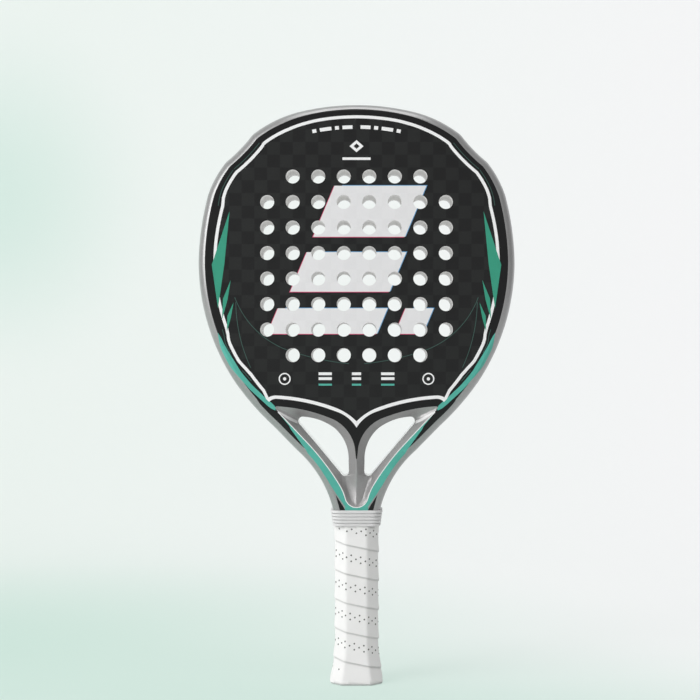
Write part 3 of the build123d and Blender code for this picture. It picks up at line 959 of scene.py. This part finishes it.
class RACKET_OT_handle_tube(bpy.types.Operator):
    """Bare carbon neck and octagonal handle inside the grip"""
    bl_idname = "racket.handle_tube"
    bl_label = "Handle tube"

    def execute(self, context):
        rings = []
        for z, wide, deep, bevel in (
            (137.1, 18.0, 16.2, 6.5), (121.0, HANDLE_WIDE, HANDLE_DEEP, 7.2),
            (4.0, HANDLE_WIDE, HANDLE_DEEP, 7.2),
        ):
            corners = [(wide, deep - bevel, z), (wide - bevel, deep, z)]
            corners += [(-x, y, z) for x, y, _ in reversed(corners)]
            rings.append(corners + [(-x, -y, z) for x, y, _ in corners])
        material = carbon_weave("Bare carbon", linear("#26272A"), linear("#303134"), 0.3, 0.45)
        mesh = loft("handle_tube", rings, material, ends=True, soft=False)
        settle(link("handle_tube", mesh), "frame_lacquer")
        return {"FINISHED"}


def fine_dots(loop, holes, pitch, clear):
    """Evenly staggered points within a loop, clear of its lines."""
    low, high = np.array(loop).min(0), np.array(loop).max(0)
    row_step = pitch * 0.866        # makes the triangles even-sided
    columns, rows = np.arange(low[0], high[0], pitch), np.arange(low[1], high[1], row_step)
    spots = np.array([(x + (i % 2) * pitch / 2, z) for i, z in enumerate(rows) for x in columns])
    spots = spots[inside(spots, loop) & ~inside(spots, *holes)]
    for chain in (loop, *holes):
        spots = spots[Outline(chain).measure(spots)[0] > clear]
    return spots.tolist()


class RACKET_OT_bridge(bpy.types.Operator):
    """Sculpted heart: pockets, strut, windows and the bowl above the collar"""
    bl_idname = "racket.bridge"
    bl_label = "Heart bridge"

    def execute(self, context):
        colours = context.scene.racket_colours
        windows = both(window_right)
        lower = [p for p in tube_right if p[1] < CORE_CORNER]
        border = loop_of(lower + [p for p in reversed(core_line) if p[0] > 0.01])
        # a painted highlight: a pale wedge along the crease from each pocket's outer corner to its
        # window, where that crease catches the light
        bevel = [(62.9, 216.4), (58.6, 214.1), (53.4, 211.2), (46.5, 207.6),
                 (46.3, 205.2), (52.2, 208.0), (57.6, 211.8), (62.2, 214.9)]
        lip = [p for p in lip_right if p[1] > LIP_LOW][:-1]
        # dots carry the curves inside the lines, more closely in the bowl. The strip along
        # the middle stays free of them, because the strut's edge lies there
        dots, strip = [], 0.65
        for pocket, bowl, window in zip(both(pocket_right), both(bowl_right), windows):
            dots += fine_dots(pocket, [window, bowl], pitch=0.7, clear=0.35)
            fine = fine_dots(bowl, [window], pitch=0.42, clear=0.22)
            dots += [dot for dot in fine if abs(dot[0]) > strip]
        loops = [*both(pocket_right), skin_loop, *both(bevel)]
        sheet = cut_sheet(border, windows, loops, both(lip), dots)
        materials = [
            metallic_lacquer("Silver lacquer on the heart", colours.bridge, 0.35, 0.36),
            metallic_lacquer("White lacquer on the window walls", colours.white, 0.3, 0.16),
            printed_ink("Painted highlight on the bevel", colours.bevel),
        ]
        walls, pale = 1, 2
        piece = slab("heart_bridge", sheet, mirrored(bridge_shape), pair(pale, bevel), walls,
                     materials, seat=skin_loop)
        settle(piece, "bridge_lacquer", "throat_bridge")
        return {"FINISHED"}


class RACKET_OT_core(bpy.types.Operator):
    """White foam core, drilled with the air holes"""
    bl_idname = "racket.core"
    bl_label = "Foam core"

    def execute(self, context):
        upper = [p for p in tube_right if p[1] > CORE_CORNER]
        border = loop_of([p for p in core_line if p[0] >= 0] + upper)
        # the last number is a painted glow that lightens the shaded walls of the holes
        foam = closed_cell_foam("White core foam with painted glow", context.scene.racket_colours.foam, 0.5, 0.1)
        surfaces = flat_at(-SEAT, -1), flat_at(SEAT, 1)
        piece = slab("foam_core", cut_sheet(border, hole_loops()), surfaces, [], 0, [foam])
        settle(piece, "eva_foam", "eva_core")
        return {"FINISHED"}


class RACKET_OT_faces(bpy.types.Operator):
    """Front and back carbon skins with their printed design and air holes"""
    bl_idname = "racket.faces"
    bl_label = "Carbon faces"

    def execute(self, context):
        colours = context.scene.racket_colours
        zones = face_zones()
        sheet = cut_sheet(skin_loop, hole_loops(), loops=[loop for _, loop in zones])
        materials = [
            metallic_lacquer("Black border lacquer", colours.black, 0.0, 0.38, 0.3),
            carbon_weave("Carbon weave", colours.carbon, colours.carbon_light, 0.25, 0.4),
            printed_ink("White ink", colours.white),
            printed_ink("Green stripe ink", colours.stripe),
            printed_ink("Thin green line ink", colours.line),
            printed_ink("Dark green ink", colours.flash),
            printed_ink("Pale grey ink", colours.panel),
            printed_ink("Pink ink", colours.pink),
            printed_ink("Blue ink", colours.blue),
        ]
        for name, node_name, front, back in (
            ("front_skin", "face_front", -HALF_DEPTH, -SEAT),
            ("back_skin", "face_back", SEAT, HALF_DEPTH),
        ):
            surfaces = flat_at(front, -1), flat_at(back, 1)
            piece = slab(name, sheet, surfaces, zones, BLACK, materials)
            settle(piece, "carbon_skin", node_name)
        return {"FINISHED"}


# profile of the wrap over one turn, from a lapped edge up to the next one: share of the
# pitch, how far out it stands as a share of the lap, and painted shade under the lapped edge
LAP_PROFILE = (
    (0.0, -0.4, 0.44), (0.004, 0.0, 0.44), (0.01, 0.5, 0.42), (0.02, 0.85, 0.32),
    (0.035, 1.0, 0.06), (0.065, 1.0, 0.0), (0.12, 0.86, 0.0), (0.2, 0.6, 0.0), (0.3, 0.36, 0.0),
    (0.42, 0.16, 0.0), (0.56, 0.05, 0.0), (0.7, 0.0, 0.0), (0.85, 0.0, 0.0), (0.935, -0.1, 0.0),
    (0.96, -0.24, 0.16), (0.978, -0.34, 0.38), (0.99, -0.4, 0.44),
)
GRIP_OUT = 2.45             # both layers of the grip, over the bare handle
GRIP_BEVEL, GRIP_ROUND = 8.6, 3.6
GRIP_LOW, GRIP_TOP = 1.6, 124.7
SEAM_AT = 108.5             # height of the first lapped edge in the middle of the front
TAPE_AT, TAPE_RAMP, TAPE_RISE = 118.2, 2.6, 0.62
FLARE_AT, FLARE_OUT, FLARE_LIMIT = (-9, 15, 30), (5.6, 1.4, 0), 3.5


def grip_spread(z):
    """How much wider the handle is at a height, because of the flare at the butt."""
    around = (z - 4, z, z + 4)      # the mean over these rounds the bend in the flare
    return min(FLARE_LIMIT, np.interp(around, FLARE_AT, FLARE_OUT).mean())


def wrap_out(out, lap, z):
    """How far the wrap stands out at a height, for a share of the lap.

    Its top end runs over the tape under it, which lifts it and flattens its laps.
    """
    lifted = float(smooth((z - TAPE_AT) / TAPE_RAMP))
    return out * lap * (1 - 0.7 * lifted) + TAPE_RISE * lifted


def grip_section(share, spread_out):
    """Point and outward direction on the grip's rounded octagon, by share of its girth.

    The girth starts at the middle of the front and runs to the right.
    """
    wide, deep = (half + GRIP_OUT + spread_out for half in (HANDLE_WIDE, HANDLE_DEEP))
    corners = [(wide - GRIP_BEVEL, -deep), (wide, GRIP_BEVEL - deep)]
    corners += [(x, -y) for x, y in reversed(corners)]
    corners = np.array(corners + [(-x, -y) for x, y in corners])
    half_turn = math.radians(22.5)
    cut, bend = GRIP_ROUND * math.tan(half_turn), GRIP_ROUND * 2 * half_turn
    pieces = []
    for i, corner in enumerate(corners):
        side = np.linalg.norm(corner - corners[i - 1])
        back, ahead = unit(corners[i - 1] - corner), unit(corners[(i + 1) % 8] - corner)
        start, end = corner + back * (side - cut), corner + back * cut
        centre = corner + unit(back + ahead) * GRIP_ROUND / math.cos(half_turn)
        pieces += [("line", start, end, side - 2 * cut), ("bend", centre, end - centre, bend)]
    total = sum(size for *_, size in pieces)
    at = ((share % 1.0) * total + pieces[0][3] / 2) % total
    for kind, a, b, size in pieces:
        if at <= size + 1e-9:
            break
        at -= size
    if kind == "line":
        along = unit(b - a)
        return a + (b - a) * at / size, np.array([along[1], -along[0]])
    cos, sin = math.cos(at / GRIP_ROUND), math.sin(at / GRIP_ROUND)
    turned = np.array([b[0] * cos - b[1] * sin, b[0] * sin + b[1] * cos])
    return a + turned, turned / GRIP_ROUND


def wrap_point(share, z, out):
    """A point on the grip's surface, moved out by some millimetres, and its direction."""
    point, away = grip_section(share, grip_spread(z))
    x, y = point + away * out
    return (x * MM, y * MM, z * MM), away


class RACKET_OT_wrap(bpy.types.Operator):
    """Helical outer wrap of the handle, with its lapped edges"""
    bl_idname = "racket.wrap"
    bl_label = "Handle wrap"

    def execute(self, context):
        sizes = context.scene.racket_sizes
        pitch, lap = sizes.wrap_pitch / MM, sizes.wrap_lap / MM
        around, turns, thick = 120, 8, 0.8 * MM
        build = bmesh.new()
        painted_shade = build.verts.layers.float.new("painted_shade")
        grid = {}
        for column in range(around * turns + 1):
            share = column / around
            for row, (along, out, shade_share) in enumerate(LAP_PROFILE):
                z = SEAM_AT + 2 * pitch - share * pitch + along * pitch
                place, _ = wrap_point(share, z, wrap_out(out, lap, z))
                grid[column, row] = build.verts.new(place)
                # each row's share of painted shade, for the shadow under the lapped edge
                grid[column, row][painted_shade] = shade_share
        # each turn's last row joins the first row of the turn above it
        last = len(LAP_PROFILE) - 1
        for column in range(around * turns):
            for row in range(last + 1):
                across, up = (0, row + 1) if row < last else (-around, 0)
                upper = [(column + k + across, up) for k in (1, 0)]
                if upper[0] in grid and upper[1] in grid:
                    corners = [(column, row), (column + 1, row), *upper]
                    build.faces.new([grid[corner] for corner in corners])
        for level, away in ((GRIP_TOP, 1), (GRIP_LOW, -1)):
            everything = build.verts[:] + build.edges[:] + build.faces[:]
            bmesh.ops.bisect_plane(
                build, geom=everything, dist=1e-7, plane_co=(0, 0, level * MM),
                plane_no=(0, 0, away), clear_outer=True)
        loose = [v for v in build.verts if not v.link_faces]
        bmesh.ops.delete(build, geom=loose, context="VERTS")
        inner = {}
        for vertex in build.verts[:]:
            x, y, z = vertex.co
            scale = 1 - thick / math.hypot(x, y)
            inner[vertex] = build.verts.new((x * scale, y * scale, z))
        for face in build.faces[:]:
            build.faces.new([inner[v] for v in reversed(face.verts[:])])
        for edge in [e for e in build.edges if len(e.link_faces) == 1 and e.verts[0] in inner]:
            a, b = edge.verts
            build.faces.new((a, b, inner[b], inner[a]))
        wrap = tacky_wrap("White wrap", context.scene.racket_colours.wrap, shade_attribute="painted_shade")
        piece = link("handle_wrap", outward_mesh("handle_wrap", build, wrap))
        settle(piece, "overgrip_pu", "overgrip")
        return {"FINISHED"}


def grow(name, guide, tree_maker, inputs):
    """Runs a node tree on a guide mesh and keeps the result as a plain mesh object."""
    tree = bpy.data.node_groups.new(name, "GeometryNodeTree")
    tree_maker(tree)
    holder = link(name + "_guide", guide)
    modifier = holder.modifiers.new(name, "NODES")
    modifier.node_group = tree
    sockets = {item.name: item.identifier for item in tree.interface.items_tree}
    for key, value in inputs.items():
        modifier[sockets[key]] = value
    depsgraph = bpy.context.evaluated_depsgraph_get()
    evaluated = holder.evaluated_get(depsgraph)
    mesh = bpy.data.meshes.new_from_object(evaluated, depsgraph=depsgraph)
    mesh.name = name
    holder.modifiers.remove(modifier)
    bpy.data.objects.remove(holder)
    return link(name, mesh)


def add_sockets(tree, **kinds):
    """Declares a tree's inputs and its one geometry output."""
    kinds = {"Geometry": "Geometry", **kinds, "Material": "Material"}
    for name, kind in kinds.items():
        tree.interface.new_socket(
            name.replace("_", " "), in_out="INPUT", socket_type="NodeSocket" + kind)
    tree.interface.new_socket("Result", in_out="OUTPUT", socket_type="NodeSocketGeometry")
    return node(tree, "NodeGroupInput").outputs


def plant(tree, given, **places):
    """Puts an instance on each point as real geometry in the given material."""
    placed = node(tree, "GeometryNodeInstanceOnPoints", places)
    real = node(tree, "GeometryNodeRealizeInstances", {"Geometry": placed.outputs[0]})
    dressed = node(tree, "GeometryNodeSetMaterial", {
        "Geometry": real.outputs[0], "Material": given["Material"]})
    node(tree, "NodeGroupOutput", {"Result": dressed.outputs[0]})


def perforation_tree(tree):
    """Small dark punched holes, one on each guide point, square to the surface."""
    given = add_sockets(tree, Diameter="Float", Depth="Float")
    halved = {0: given["Diameter"], 1: 0.5}
    radius = node(tree, "ShaderNodeMath", halved, operation="MULTIPLY").outputs[0]
    punch = node(tree, "GeometryNodeMeshCylinder", {
        "Vertices": 14, "Side Segments": 1, "Fill Segments": 1, "Radius": radius,
        "Depth": given["Depth"]})
    facing = node(tree, "GeometryNodeInputNamedAttribute", {"Name": "facing"},
                  data_type="FLOAT_VECTOR")
    turned = node(tree, "FunctionNodeAlignRotationToVector", {
        "Vector": facing.outputs["Attribute"]}, axis="Z")
    plant(tree, given, Points=given["Geometry"], Instance=punch.outputs["Mesh"],
          Rotation=turned.outputs[0])


class RACKET_OT_perforations(bpy.types.Operator):
    """Three staggered rows of punched holes along the wrap"""
    bl_idname = "racket.perforations"
    bl_label = "Wrap perforations"

    def execute(self, context):
        sizes = context.scene.racket_sizes
        pitch, lap = sizes.wrap_pitch / MM, sizes.wrap_lap / MM
        shares, outs, _ = zip(*LAP_PROFILE)
        step, first = 3.71 / 108.0, 0.003       # along the girth, as a share of it
        middle_row, row_gap, turns, lowest, nudge = 0.575, 2.35, 7, 11.5, 0.01

        def stands_out(share, along):
            rows = [SEAM_AT + (1 + row - share) * pitch for row in shares]
            levels = [grip_spread(z) + wrap_out(out, lap, z) for out, z in zip(outs, rows)]
            return np.interp(along, shares, levels)

        places, facings = [], []
        for k in range(int(turns / step)):
            share = k * step + first
            for row in (-row_gap, row_gap) if k % 2 else (0.0,):
                along = middle_row + row / pitch
                z = SEAM_AT + (1 + along - share) * pitch
                if not lowest < z < GRIP_TOP - 1:
                    continue
                out = stands_out(share, along) - grip_spread(z) + nudge
                place, away = wrap_point(share, z, out)
                rise = stands_out(share, along + nudge) - stands_out(share, along - nudge)
                places.append(place)
                facings.append((away[0], away[1], -rise / (2 * nudge * pitch)))
        guide = bpy.data.meshes.new("perforation_points")
        guide.from_pydata(places, [], [])
        facing = guide.attributes.new("facing", "FLOAT_VECTOR", "POINT")
        facing.data.foreach_set("vector", np.array(facings).ravel())
        material = tacky_wrap("Punched hole in the wrap", linear("#5C5C5C"))
        piece = grow("wrap_perforations", guide, perforation_tree, {
            "Diameter": sizes.perforation, "Depth": 0.1 * MM, "Material": material})
        settle(piece, "overgrip_pu")
        return {"FINISHED"}


def ring_solid(name, profile, wide, deep, corner, material=None):
    """A closed ring: a profile of (out, z) swept round a rounded rectangle."""
    quarter = 24
    rings = []
    for q, (sx, sy) in enumerate(((1, 1), (-1, 1), (-1, -1), (1, -1))):
        centre = np.array([sx * (wide - corner), sy * (deep - corner)])
        for i in range(quarter):
            angle = math.radians(90 * (q + i / (quarter - 1)))
            away = np.array([math.cos(angle), math.sin(angle)])
            rings.append([(*(centre + away * corner + away * out), z) for out, z in profile])
    return loft(name, rings, material)


def rib_tree(tree):
    """A stack of ribs, from a lower one up to a slightly larger upper one."""
    given = add_sockets(tree, Ribs="Int", Pitch="Float", Lowest="Float",
                        Lower_scale="Float", Upper_scale="Float")
    foot = node(tree, "ShaderNodeCombineXYZ", {"Z": given["Lowest"]}).outputs[0]
    rise = node(tree, "ShaderNodeCombineXYZ", {"Z": given["Pitch"]}).outputs[0]
    line = node(tree, "GeometryNodeMeshLine", {
        "Count": given["Ribs"], "Start Location": foot, "Offset": rise},
        mode="OFFSET", count_mode="TOTAL")
    number = node(tree, "GeometryNodeInputIndex").outputs[0]
    lessened = {0: given["Ribs"], 1: 1.0}
    top = node(tree, "ShaderNodeMath", lessened, operation="SUBTRACT").outputs[0]
    size = node(tree, "ShaderNodeMapRange", {
        "Value": number, "From Max": top, "To Min": given["Lower scale"],
        "To Max": given["Upper scale"]}).outputs["Result"]
    scale = node(tree, "ShaderNodeCombineXYZ", {"X": size, "Y": size, "Z": 1.0}).outputs[0]
    plant(tree, given, Points=line.outputs[0], Instance=given["Geometry"], Scale=scale)


class RACKET_OT_collar(bpy.types.Operator):
    """Ribbed rubber collar over the joint of grip and neck"""
    bl_idname = "racket.collar"
    bl_label = "Collar"

    def execute(self, context):
        out = context.scene.racket_sizes.rib_height / MM
        low, high, ribs = GRIP_TOP, 137.5, 5
        half = (high - low) / ribs / 2
        root, gap, end_gap, fullness = -0.6, 0.16, 0.02, 0.6
        wide, deep, corner = 19.75, 18.15, 8.0
        rib = [(root, half - end_gap)]
        for angle in (82, 66, 48, 28, 0, -28, -48, -66, -82):
            turn = math.radians(angle)
            rib.append((out * math.cos(turn) ** fullness, (half - gap) * math.sin(turn)))
        rib.append((root, end_gap - half))
        material = moulded_rubber("Pale collar rubber", context.scene.racket_colours.collar)
        ring = ring_solid("collar_rib", rib, wide - out, deep - out, corner - out)
        piece = grow("collar_ribs", ring, rib_tree, {
            "Ribs": ribs, "Pitch": 2 * half * MM, "Lowest": (low + half) * MM,
            "Lower scale": 0.963, "Upper scale": 1.037, "Material": material})
        settle(piece, "collar_rubber", "collar")
        base = [(0.0, low), (0.75, low), (2.3, high - 0.35), (2.05, high), (0.0, high)]
        sleeve = ring_solid("collar_sleeve", base, 17.4, 15.6, 6.6, material)
        settle(link("collar_sleeve", sleeve), "collar_rubber")
        return {"FINISHED"}


class RACKET_OT_cap(bpy.types.Operator):
    """Butt cap: rounded plate, hole for a cord and the sleeve inside the grip"""
    bl_idname = "racket.cap"
    bl_label = "Butt cap"

    def execute(self, context):
        # radius and height of each ring in the cord's hole, then how far in from the
        # grip's octagon each ring of the plate and the sleeve lies, and its height
        bore = ((3.5, 4.0), (3.5, 0.9), (3.7, 0.6), (4.2, 0.45))
        shell = (
            (5.5, 0.3), (3.2, 0.0), (1.6, 0.0), (0.9, 0.12), (0.4, 0.45), (0.1, 0.95),
            (0.0, 1.6), (0.9, 1.6), (0.9, 2.9), (2.7, 3.0), (3.0, 4.0), (5.0, 20.0),
            (6.4, 20.0), (6.4, 4.0),
        )
        count, lip_at = 96, 3
        spots = [grip_section(i / count, grip_spread(lip_at)) for i in range(count)]
        rings = [[(*(unit(point) * radius), z) for point, _ in spots] for radius, z in bore]
        rings += [[(*(point - away * inward), z) for point, away in spots] for inward, z in shell]
        plastic = moulded_rubber("Cap plastic", context.scene.racket_colours.cap, 0.45)
        piece = link("butt_plate", loft("butt_plate", rings, plastic))
        settle(piece, "cap_plastic", "butt_cap")
        return {"FINISHED"}


class RACKET_OT_inner(bpy.types.Operator):
    """Finishes of the inner pieces that keep their own shape"""
    bl_idname = "racket.inner"
    bl_label = "Inner pieces"

    def execute(self, context):
        finishes = {
            "frame_foam": closed_cell_foam("Tube foam", linear("#DED6BC"), 0.9),
            "handle_foam": closed_cell_foam("Handle foam", linear("#D8D0B6"), 0.9),
            "base_grip": tacky_wrap("Black cushion sleeve", linear("#1E1E1F"), 0.7),
            "finishing_tape": moulded_rubber("White finishing tape", linear("#D9D9D7"), 0.6),
            "butt_staples": drawn_wire("Staple wire", linear("#A7A8A6")),
        }
        for name, material in finishes.items():
            mesh = frame["nodes"][name].data
            mesh.materials.clear()
            mesh.materials.append(material)
        return {"FINISHED"}


# ------------------------------------------------------------------ stage
def studio_paper():
    """Pale paper with soft mint clouds, which only the camera and reflections see bright."""
    material = bpy.data.materials.new("Pale studio paper")
    material.use_nodes = True
    tree = material.node_tree
    principled = tree.nodes["Principled BSDF"]
    principled.inputs["Base Color"].default_value = (*linear("#F0F1F0"), 1)
    principled.inputs["Roughness"].default_value = 0.9
    place = node(tree, "ShaderNodeTexCoord").outputs["Object"]
    across = node(tree, "ShaderNodeSeparateXYZ", {"Vector": place}).outputs["X"]
    across = node(tree, "ShaderNodeMapRange", {"Value": across, "From Min": -0.5, "From Max": 0.5})
    pale = tint(tree, across.outputs["Result"], linear("#EAF4EF"), linear("#FBFCFD"))
    for middle, reach, tone in (
        ((-0.62, 1.2, 0.52), 0.34, "#CBE7DC"), ((-0.45, 0.1, 0.0), 0.85, "#BFE1D3"),
        ((0.05, -0.38, 0.0), 0.62, "#B4DDCD"),
    ):
        away = node(tree, "ShaderNodeVectorMath", {0: place, 1: middle}, operation="DISTANCE")
        near = node(tree, "ShaderNodeMapRange", {
            "Value": away.outputs["Value"], "From Min": reach, "From Max": 0.0},
            interpolation_type="SMOOTHSTEP").outputs["Result"]
        pale = tint(tree, near, pale, linear(tone))
    rays = node(tree, "ShaderNodeLightPath").outputs
    seen = rays["Is Camera Ray"]
    for kind in ("Is Glossy Ray", "Is Transmission Ray"):
        terms = {0: seen, 1: rays[kind]}
        seen = node(tree, "ShaderNodeMath", terms, operation="MAXIMUM").outputs[0]
    glow_share = 0.75
    terms = {0: seen, 1: glow_share}
    share = node(tree, "ShaderNodeMath", terms, operation="MULTIPLY").outputs[0]
    glow = node(tree, "ShaderNodeEmission", {"Color": pale, "Strength": 1.0}).outputs[0]
    mix = node(tree, "ShaderNodeMixShader", {0: share, 1: principled.outputs[0], 2: glow})
    tree.links.new(mix.outputs[0], tree.nodes["Material Output"].inputs["Surface"])
    return material


def paper_sweep():
    """Floor and backdrop in one sheet, with a bend between them."""
    front, back, side, top, radius, turns = -2.6, 1.2, 2.6, 2.6, 0.5, 12
    line = [(front, 0.0), (back - radius, 0.0)]
    for i in range(1, turns + 1):
        a = math.pi / 2 * i / turns
        line.append((back - radius + radius * math.sin(a), radius - radius * math.cos(a)))
    line.append((back, top))
    mesh = bpy.data.meshes.new("Paper_sweep")
    corners = [(x, y, z) for y, z in line for x in (-side, side)]
    faces = [(2 * i, 2 * i + 1, 2 * i + 3, 2 * i + 2) for i in range(len(line) - 1)]
    mesh.from_pydata(corners, [], faces)
    mesh.polygons.foreach_set("use_smooth", [True] * len(faces))
    return mesh


class RACKET_OT_stage(bpy.types.Operator):
    """Camera, soft lamps, pale floor and backdrop"""
    bl_idname = "racket.stage"
    bl_label = "Stage"

    def execute(self, context):
        scene = context.scene
        width, shift = 700, (-18, 17)               # of the render, in pixels
        lens = bpy.data.cameras.new("Camera")
        lens.lens, lens.sensor_width = 76.68, 36.0
        lens.shift_x, lens.shift_y = shift[0] / width, shift[1] / width
        camera = bpy.data.objects.new("Camera", lens)
        camera.location = (0.009, -1.187, 0.250)
        camera.rotation_euler = (math.radians(90), 0, 0)
        scene.collection.objects.link(camera)
        scene.camera = camera

        aim_at = Vector((0, 0, 0.27))               # the lower part of the head
        for name, place, size, power in (
            ("Key", (-2.0, -1.2, 1.0), 1.5, 32.0),
            ("Corner", (-1.1, -1.1, 1.55), 0.9, 5.5),
            ("Fill", (1.6, -1.4, 0.7), 1.4, 1.2),
            ("Top", (0.0, -0.1, 1.8), 1.0, 7.0),
        ):
            lamp = bpy.data.lights.new(name, "AREA")
            lamp.size, lamp.energy = size, power
            holder = bpy.data.objects.new(name, lamp)
            holder.location = place
            aim = aim_at - Vector(place)
            holder.rotation_euler = aim.to_track_quat("-Z", "Y").to_euler()
            scene.collection.objects.link(holder)

        world = bpy.data.worlds.new("Studio")
        world.use_nodes = True
        ground = world.node_tree.nodes["Background"]
        ground.inputs["Color"].default_value = (1, 1, 1, 1)
        ground.inputs["Strength"].default_value = 0.41
        scene.world = world

        mesh = paper_sweep()
        mesh.materials.append(studio_paper())
        link("Paper_sweep", mesh)
        scene.view_settings.view_transform = "Standard"
        return {"FINISHED"}


PIECES = (
    RACKET_OT_stage, RACKET_OT_frame, RACKET_OT_handle_tube, RACKET_OT_bridge, RACKET_OT_core,
    RACKET_OT_faces, RACKET_OT_wrap, RACKET_OT_perforations, RACKET_OT_collar, RACKET_OT_cap,
    RACKET_OT_inner,
)


class RACKET_PT_panel(bpy.types.Panel):
    """Sizes, colours and a button for each piece"""
    bl_idname = "RACKET_PT_panel"
    bl_label = "Padel racket"
    bl_space_type = "VIEW_3D"
    bl_region_type = "UI"
    bl_category = "Racket"

    def draw(self, context):
        for group in (context.scene.racket_sizes, context.scene.racket_colours):
            box = self.layout.box()
            for name in group.bl_rna.properties.keys():
                if name not in ("rna_type", "name"):
                    box.prop(group, name)
        for piece in PIECES:
            self.layout.operator(piece.bl_idname)


CLASSES = (RacketSizes, RacketColours, *PIECES, RACKET_PT_panel)


def register():
    """Adds the settings, the operators and the panel."""
    for item in CLASSES:
        bpy.utils.register_class(item)
    bpy.types.Scene.racket_sizes = bpy.props.PointerProperty(type=RacketSizes)
    bpy.types.Scene.racket_colours = bpy.props.PointerProperty(type=RacketColours)


def unregister():
    """Takes away what register added."""
    del bpy.types.Scene.racket_colours
    del bpy.types.Scene.racket_sizes
    for item in reversed(CLASSES):
        bpy.utils.unregister_class(item)


def main():
    """Builds every piece and the stage."""
    register()
    for piece in PIECES:
        group, action = piece.bl_idname.split(".")
        getattr(getattr(bpy.ops, group), action)()


if __name__ == "__main__":
    main()
